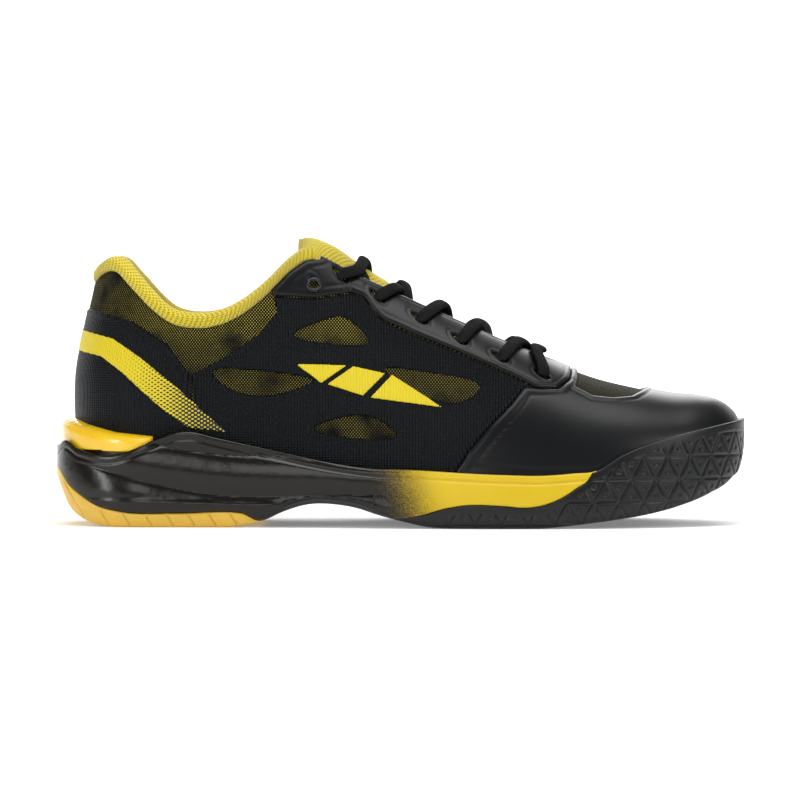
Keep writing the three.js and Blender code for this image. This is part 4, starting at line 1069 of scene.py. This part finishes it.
def smooth_path(route, spacing):
    """Even samples of a centripetal Catmull-Rom curve through the route, and its smoothed normals."""
    points = np.array([r[0] for r in route])
    around = np.array([r[1] for r in route])
    knots = np.concatenate([[0], np.cumsum(np.linalg.norm(np.diff(points, axis=0), axis=1) ** 0.5)])
    padded = np.concatenate([[2 * points[0] - points[1]], points, [2 * points[-1] - points[-2]]])
    k = np.concatenate([[-knots[1]], knots, [2 * knots[-1] - knots[-2]]])
    s = np.linspace(0, knots[-1], 6000)
    i = np.clip(np.searchsorted(knots, s, side="right") - 1, 0, len(points) - 2)
    p0, p1, p2, p3 = (padded[i + j] for j in range(4))
    t0, t1, t2, t3 = (k[i + j][:, None] for j in range(4))
    t = s[:, None]
    a1 = (t1 - t) / (t1 - t0) * p0 + (t - t0) / (t1 - t0) * p1
    a2 = (t2 - t) / (t2 - t1) * p1 + (t - t1) / (t2 - t1) * p2
    a3 = (t3 - t) / (t3 - t2) * p2 + (t - t2) / (t3 - t2) * p3
    b1 = (t2 - t) / (t2 - t0) * a1 + (t - t0) / (t2 - t0) * a2
    b2 = (t3 - t) / (t3 - t1) * a2 + (t - t1) / (t3 - t1) * a3
    curve = (t2 - t) / (t2 - t1) * b1 + (t - t1) / (t2 - t1) * b2
    share = ((s - knots[i]) / (knots[i + 1] - knots[i]))[:, None]
    n = around[i] * (1 - share) + around[i + 1] * share
    length = np.concatenate([[0], np.cumsum(np.linalg.norm(np.diff(curve, axis=0), axis=1))])
    even = np.linspace(0, length[-1], int(length[-1] / spacing))
    curve = np.stack([np.interp(even, length, curve[:, j]) for j in range(3)], -1)
    n = np.stack([np.interp(even, length, n[:, j]) for j in range(3)], -1)
    kernel = np.ones(7) / 7
    n = np.stack([np.convolve(np.pad(n[:, j], 3, mode="edge"), kernel, "valid") for j in range(3)], -1)
    return curve, n, length[-1]

def flat_tube(name, route, wide, thick, finish):
    """Oval section: wide across the path, thick along the normal, with fine cross ribs."""
    step = 0.32 * COARSE
    curve, n, length = smooth_path(route, step)
    tangent = np.gradient(curve, axis=0)
    tangent /= np.linalg.norm(tangent, axis=1, keepdims=True)
    n = n - tangent * np.sum(n * tangent, 1, keepdims=True)
    n /= np.maximum(np.linalg.norm(n, axis=1, keepdims=True), 1e-6)
    across = np.cross(tangent, n)
    turn = np.linspace(0, 2 * np.pi, 24, endpoint=False)
    walk = np.arange(len(curve)) * step
    rib = 1 + 0.045 * np.sin(walk * 2 * np.pi / 1.35)[:, None]
    u = np.sign(np.cos(turn)) * np.abs(np.cos(turn)) ** 0.8 * wide / 2 * rib
    v = np.sin(turn) * thick / 2 * rib
    rings = curve[:, None, :] + across[:, None, :] * u[..., None] + n[:, None, :] * v[..., None]
    return make_tube(name, rings, finish), length

lace, lace_length = flat_tube("shoelace", lace_route(), LACE_WIDE, LACE_THICK, "lace")
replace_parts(lace, "shoelace")
print("lace", round(lace_length), "mm of cord,", len(lace.data.vertices), "vertices")

# %% Aglets and spare eyelet rings
def aglet(side, word):
    """A clear sheath, round, tapering a little to its tip."""
    start, n = shell_point([37.5, 64.4], side, -5.7)
    stop = shell_point([54, 57.2], side, -7.4)[0]
    t = np.linspace(0, 1, 24)[:, None]
    line = start + (stop - start) * t
    direction = (stop - start) / np.linalg.norm(stop - start)
    across = np.cross(direction, n)
    across /= np.linalg.norm(across)
    up = np.cross(across, direction)
    turn = np.linspace(0, 2 * np.pi, 20, endpoint=False)
    radius = 1.45 - 0.25 * t + 0.06 * np.sin(t * 60)
    rings = (line[:, None, :] + radius[..., None] * (across * np.cos(turn)[None, :, None]
             + up * np.sin(turn)[None, :, None]))
    return make_tube(f"aglet_{word}", rings, "aglet")

def ring_piece(side, word):
    """A rolled metal rim: a small circle carried round a bigger one, sunk in the eyestay."""
    middle, n = shell_point(SPARE_EYELET, side, 1.3)
    across = np.cross(n, [0, 0, 1.0])
    across /= np.linalg.norm(across)
    up = np.cross(across, n)
    big = np.linspace(0, 2 * np.pi, 48, endpoint=False)[:, None]
    small = np.linspace(0, 2 * np.pi, 12, endpoint=False)[None, :]
    r = 2.6 + 0.75 * np.cos(small)
    h = 0.5 * np.sin(small)
    points = (middle + across * (r * np.cos(big))[..., None] + up * (r * np.sin(big))[..., None]
              + n * (h * np.ones_like(big))[..., None])
    faces = grid_faces(49, 12, wrap=True) % (48 * 12)
    verts = points.reshape(-1, 3)
    uv = np.stack(np.broadcast_arrays(big * 2.6, small * 0.75), -1).reshape(-1, 2)
    return make_mesh(f"eyelet_ring_{word}", verts, outward_faces(verts, faces), "ring", uv)

for side, word in SIDES:
    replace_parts(aglet(side, word), f"aglet_{word}")
    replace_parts(ring_piece(side, word), f"eyelet_ring_{word}")

# %% [markdown]
# ## The sole
# Midsole, outsoles and arch plate share one outer wall: at each place along the shoe the wall rises from
# the ground line to the top line and swells a little on the way. The layers divide that wall by height.
# Grooves and ridges are pressed into it as relief.

# %% Sole walls
SOLE_BACK, SOLE_FRONT, SOLE_FLARE = -146.0, 146.4, 4.5
HEEL_SOLE_FRONT, FORE_SOLE_BACK = -57, -11
HEEL_RUBBER_TOP = [[-150, 26], [-144.5, 23.9], [-140.7, 18.5], [-134.2, 13.1], [-126.8, 8.8],
                   [-119.3, 6.9], [-92.5, 6], [-68.5, 6.4], [-61.5, 5.4], [-49.5, 6.3], [-46, 4]]
FORE_RUBBER_TOP = [[-11, 3], [3.9, 4.5], [9.5, 5.8], [18.1, 8.4], [26.7, 9.9], [42.7, 9.7], [52, 9],
                   [59.9, 10.1], [66.4, 12.6], [72.7, 16.5], [80.1, 23.4], [82, 28], [84, 60]]
SIDE_SHAPE = [[0, 0.91], [0.1, 0.965], [0.4, 1], [0.75, 0.99], [1, 0.965]]

def sole_half(x, side):
    reach = np.where(side < 0, at(OUTER_HALF, x), at(INNER_HALF, x)) + SOLE_FLARE
    return reach * rounded((x - SOLE_BACK) / HEEL_ROUND, 2) * rounded((SOLE_FRONT - x) / TOE_ROUND, TOE_POWER)

def ground(x):
    return np.maximum(at(SOLE_BOTTOM, x), 0)

def wall_relief_mid(x, z, walk):
    """Flowing ridges from heel to arch: each crest is a line that falls towards the front."""
    body = smoothstep(-140, -120, x) * smoothstep(6, -14, x)
    flow = z - 20 + 6.5 * np.sin((x + 120) / 26.0) * 0.6 + (x + 95) * 0.11
    crest = np.abs(np.sin(flow * np.pi / 17.0)) ** 0.6
    rib = np.exp(-((z - 9.5 - (x + 60) * -0.02) / 1.2) ** 2) * 0.5
    line = -0.55 * np.exp(-((z - (at(SOLE_TOP, x) - 3.4)) / 0.6) ** 2)
    return (crest - 0.8) * 2.0 * body + rib * body + line

def wall_relief_rand(x, z, walk):
    """Raised triangles on a star grid: three families of grooves, and a small dot in each triangle."""
    pitch = 11.0
    height = pitch * math.sqrt(3) / 2
    row = (z - 1.5) / height
    slant_a = (walk / pitch + row / 2)
    slant_b = (walk / pitch - row / 2)
    def groove(t):
        away = np.abs(t - np.round(t)) * height
        return np.exp(-(away / 0.5) ** 2)
    cut = np.maximum(np.maximum(groove(row), groove(slant_a)), groove(slant_b))
    fa, fb = slant_a - np.floor(slant_a), slant_b - np.floor(slant_b)
    third = np.where(fa > fb, 1 / 3, 2 / 3)
    da, db = fa - 1 + third, fb - third
    dot = smoothstep(1.25, 0.7, pitch * np.sqrt(((da + db) / 2) ** 2 + 0.75 * (da - db) ** 2))
    plain_rim = np.minimum(at(FORE_RUBBER_TOP, x), at(SOLE_TOP, x)) - z
    return (-0.8 * cut - 0.6 * dot) * smoothstep(10, 24, x) * smoothstep(3.0, 4.2, plain_rim)

def wall_relief_heel(x, z, walk):
    """Thin slanted grooves in the lower heel wall."""
    slant = np.abs(np.mod(x + z * 0.6, 9.0) - 4.5)
    return -0.9 * np.exp(-(slant / 0.4) ** 2) * smoothstep(-144, -140, x) * smoothstep(-60, -66, x)

def stations(start, stop, count):
    """Places along the shoe, closer together at the round ends."""
    t = np.linspace(0, np.pi, count)
    return start + (stop - start) * (0.35 * (1 - np.cos(t)) / 2 + 0.65 * t / np.pi)

def sole_body(name, x, low, high, dish, finish, relief, rows=22):
    """Closed body: up the outer wall, over the top, down to the dish, across it, and the same on the
    inner side; underneath it runs flat from wall to wall. Ends are drawn to a point. relief(x, z, walk)
    is what stands out of the wall at x and height z, walk mm along it, negative for a groove."""
    x = x[:, None]
    low, high = low[:, None], np.maximum(high[:, None], low[:, None] + 0.4)
    t = np.linspace(0, 1, rows)[None, :]
    z = low + (high - low) * t
    share = (z - ground(x)) / np.maximum(at(SOLE_TOP, x) - ground(x), 1)
    away = np.minimum(z - low, high - z)
    roll = 0.9 - np.sqrt(np.clip(0.81 - (0.9 - np.minimum(away, 0.9)) ** 2, 0, 1))
    walls = []
    for side in (-1.0, 1.0):
        y = sole_half(x, side) * at(SIDE_SHAPE, share)
        step = np.hypot(np.diff(x[:, 0]), np.diff(y[:, rows // 2]))
        walk = np.concatenate([[0], np.cumsum(step)])[:, None]
        press = relief(x + 0 * z, z, walk + 0 * z)
        fade = smoothstep(0.0, 1.4, away) * smoothstep(0, 8, y)
        walls.append(side * np.maximum(y + press * fade - roll * smoothstep(0, 5, y), 0.3))
    across = np.linspace(1, -1, 17)[None, :]
    edge_out = walls[0][:, -1:]
    edge_in = walls[1][:, -1:]
    sunk = smoothstep(-143, -136, x) * smoothstep(144, 137, x)  # no dish where the ends close
    floor_z = high - 0.3 - (high - 0.3 - np.minimum(dish[:, None], high - 0.3)) * sunk
    top_y = edge_out * (1 + across) / 2 + edge_in * (1 - across) / 2
    inner = smoothstep(0.0, 0.12, 1 - np.abs(across))
    top_z = high + (floor_z - high) * inner
    bottom_y = walls[1][:, :1] * (1 + across) / 2 + walls[0][:, :1] * (1 - across) / 2
    bottom_z = low + 0 * bottom_y
    wide = x + 0 * z
    parts = [np.stack([wide, walls[0], z], -1),
             np.stack([x + 0 * top_y, top_y, top_z], -1)[:, 1:-1],
             np.stack([wide, walls[1], z], -1)[:, ::-1],
             np.stack([x + 0 * bottom_y, bottom_y, bottom_z], -1)[:, 1:-1]]
    return make_tube(name, np.concatenate(parts, 1), finish, caps=False)

FINE = int(520 / COARSE)

def heel_rubber_top(x):
    """Top of the heel rubber; it thins out to the ground line at its front end."""
    return ground(x) + (at(HEEL_RUBBER_TOP, x) - ground(x)) * smoothstep(-56.5, -66, x)

heel_x = stations(-145.98, HEEL_SOLE_FRONT, FINE // 2)
heel_top = heel_rubber_top(heel_x)
heel_sole = sole_body("outsole_heel", heel_x, ground(heel_x), heel_top, heel_top - 0.5, "gum",
                      wall_relief_heel, rows=18)
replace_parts(heel_sole, "outsole_heel")

fore_x = stations(FORE_SOLE_BACK, 146.38, FINE)
fore_top = np.minimum(at(FORE_RUBBER_TOP, fore_x), at(SOLE_TOP, fore_x))
fore_sole = sole_body("outsole_forefoot", fore_x, ground(fore_x), fore_top,
                      np.maximum(ground(fore_x) + 3.4, np.minimum(fore_top - 0.3, at(BED, fore_x) - 2)),
                      "rubber", wall_relief_rand, rows=84)
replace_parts(fore_sole, "outsole_forefoot")

arch_x = stations(-51, 3.5, 60)
arch = sole_body("shank_plate", arch_x, ground(arch_x) - 0.02, ground(arch_x) + 2.4,
                 ground(arch_x) + 2.0, "plate", lambda x, z, walk: 0 * x - 0.6, rows=6)
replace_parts(arch, "shank_plate")

def midsole_low(x):
    """The midsole stands on the heel rubber, then on the arch plate, then on the forefoot rubber."""
    arch_low = ground(x) + 2.2 * smoothstep(-50.5, -48, x)
    front_low = np.where(x > FORE_SOLE_BACK, at(FORE_RUBBER_TOP, x), arch_low)
    return np.where(x < HEEL_SOLE_FRONT, heel_rubber_top(x), np.maximum(ground(x), front_low))

mid_x = stations(-145.9, 81.8, FINE)
mid_top = at(SOLE_TOP, np.maximum(mid_x, -144.4))
mid_low = np.minimum(midsole_low(mid_x), mid_top - 0.6)
midsole = sole_body("midsole", mid_x, mid_low, mid_top, np.minimum(at(BED, mid_x) - 1.8, mid_top - 1), "sole",
                    wall_relief_mid, rows=56)
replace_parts(midsole, "midsole")
print("sole", len(midsole.data.vertices), len(fore_sole.data.vertices), len(heel_sole.data.vertices))

# %% Heel clip: a glossy pillow that hugs the back of the heel above the midsole
CLIP_LOW = [[-137.7, 31.0], [-130, 28.6], [-123.7, 27.2], [-117, 28.0], [-110, 31.4], [-103.5, 36.0]]
CLIP_HIGH = [[-137.7, 45.6], [-131.1, 42.8], [-119.3, 39.8], [-103.5, 38.2]]

clip = patch("heel_clip", side_map, round_the_heel(CLIP_HIGH, CLIP_LOW), 0.7 * COARSE, *LAYER["clip"],
             "clip", "clip", edge=3.6, rim=0.2)
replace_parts(clip, "heel_clip")

# %% Insole: a foam slab and its cloth cover, resting on the board
def bed_body(name, low, high, inset, finish):
    """Slab over the foot bed between two heights, inset from the last's edge."""
    x = stations(HEEL_X + inset, 133.0, 120)
    turn = np.sqrt(np.clip(1 - (1 - np.clip((x - HEEL_X - inset) / HEEL_ROUND, 0, 1)) ** 2, 0, 1))
    share = np.linspace(-1, 1, 21)
    def reach(side):
        return np.maximum(half_width(x, side) * turn - inset * smoothstep(0, 0.3, turn), 0.3)[:, None]
    y = share * np.where(share < 0, reach(-1.0), reach(1.0))
    bed = at(BED, x)[:, None] + 0 * y
    cup = 2.0 * smoothstep(0.75, 1.0, np.abs(share))[None, :]
    up = np.stack([x[:, None] + 0 * y, y, bed + high + cup], -1)
    down = np.stack([x[:, None] + 0 * y, y, bed + low + cup], -1)[:, ::-1]
    return make_tube(name, np.concatenate([up, down], 1), finish, body="insole", caps=False)

insole_foam = bed_body("insole_foam", 0.3, 4.5, 7.4, "foam")
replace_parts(insole_foam, "insole_foam")
insole_cover = bed_body("insole_cover", 4.5, 5.5, 7.2, "insole")
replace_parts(insole_cover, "insole_cover")

# %% [markdown]
# ## Parts kept from the CAD
# The board, counter, toe puff and eyelet backers keep their CAD shape and only get a finish. They lie
# under other pieces, but the counter comes through the lining inside the heel, and the backers' edges
# show along the throat.

# %% Finishes of carried-over parts, and the CAD parts left showing
for name in ("strobel_board", "heel_counter", "toe_puff", "eyelet_backer_lateral", "eyelet_backer_medial"):
    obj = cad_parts[name]
    for entry in obj.material_slots:
        entry.material = FINISH["board"]
for name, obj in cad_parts.items():
    if not obj.hide_render:
        print("kept", name)
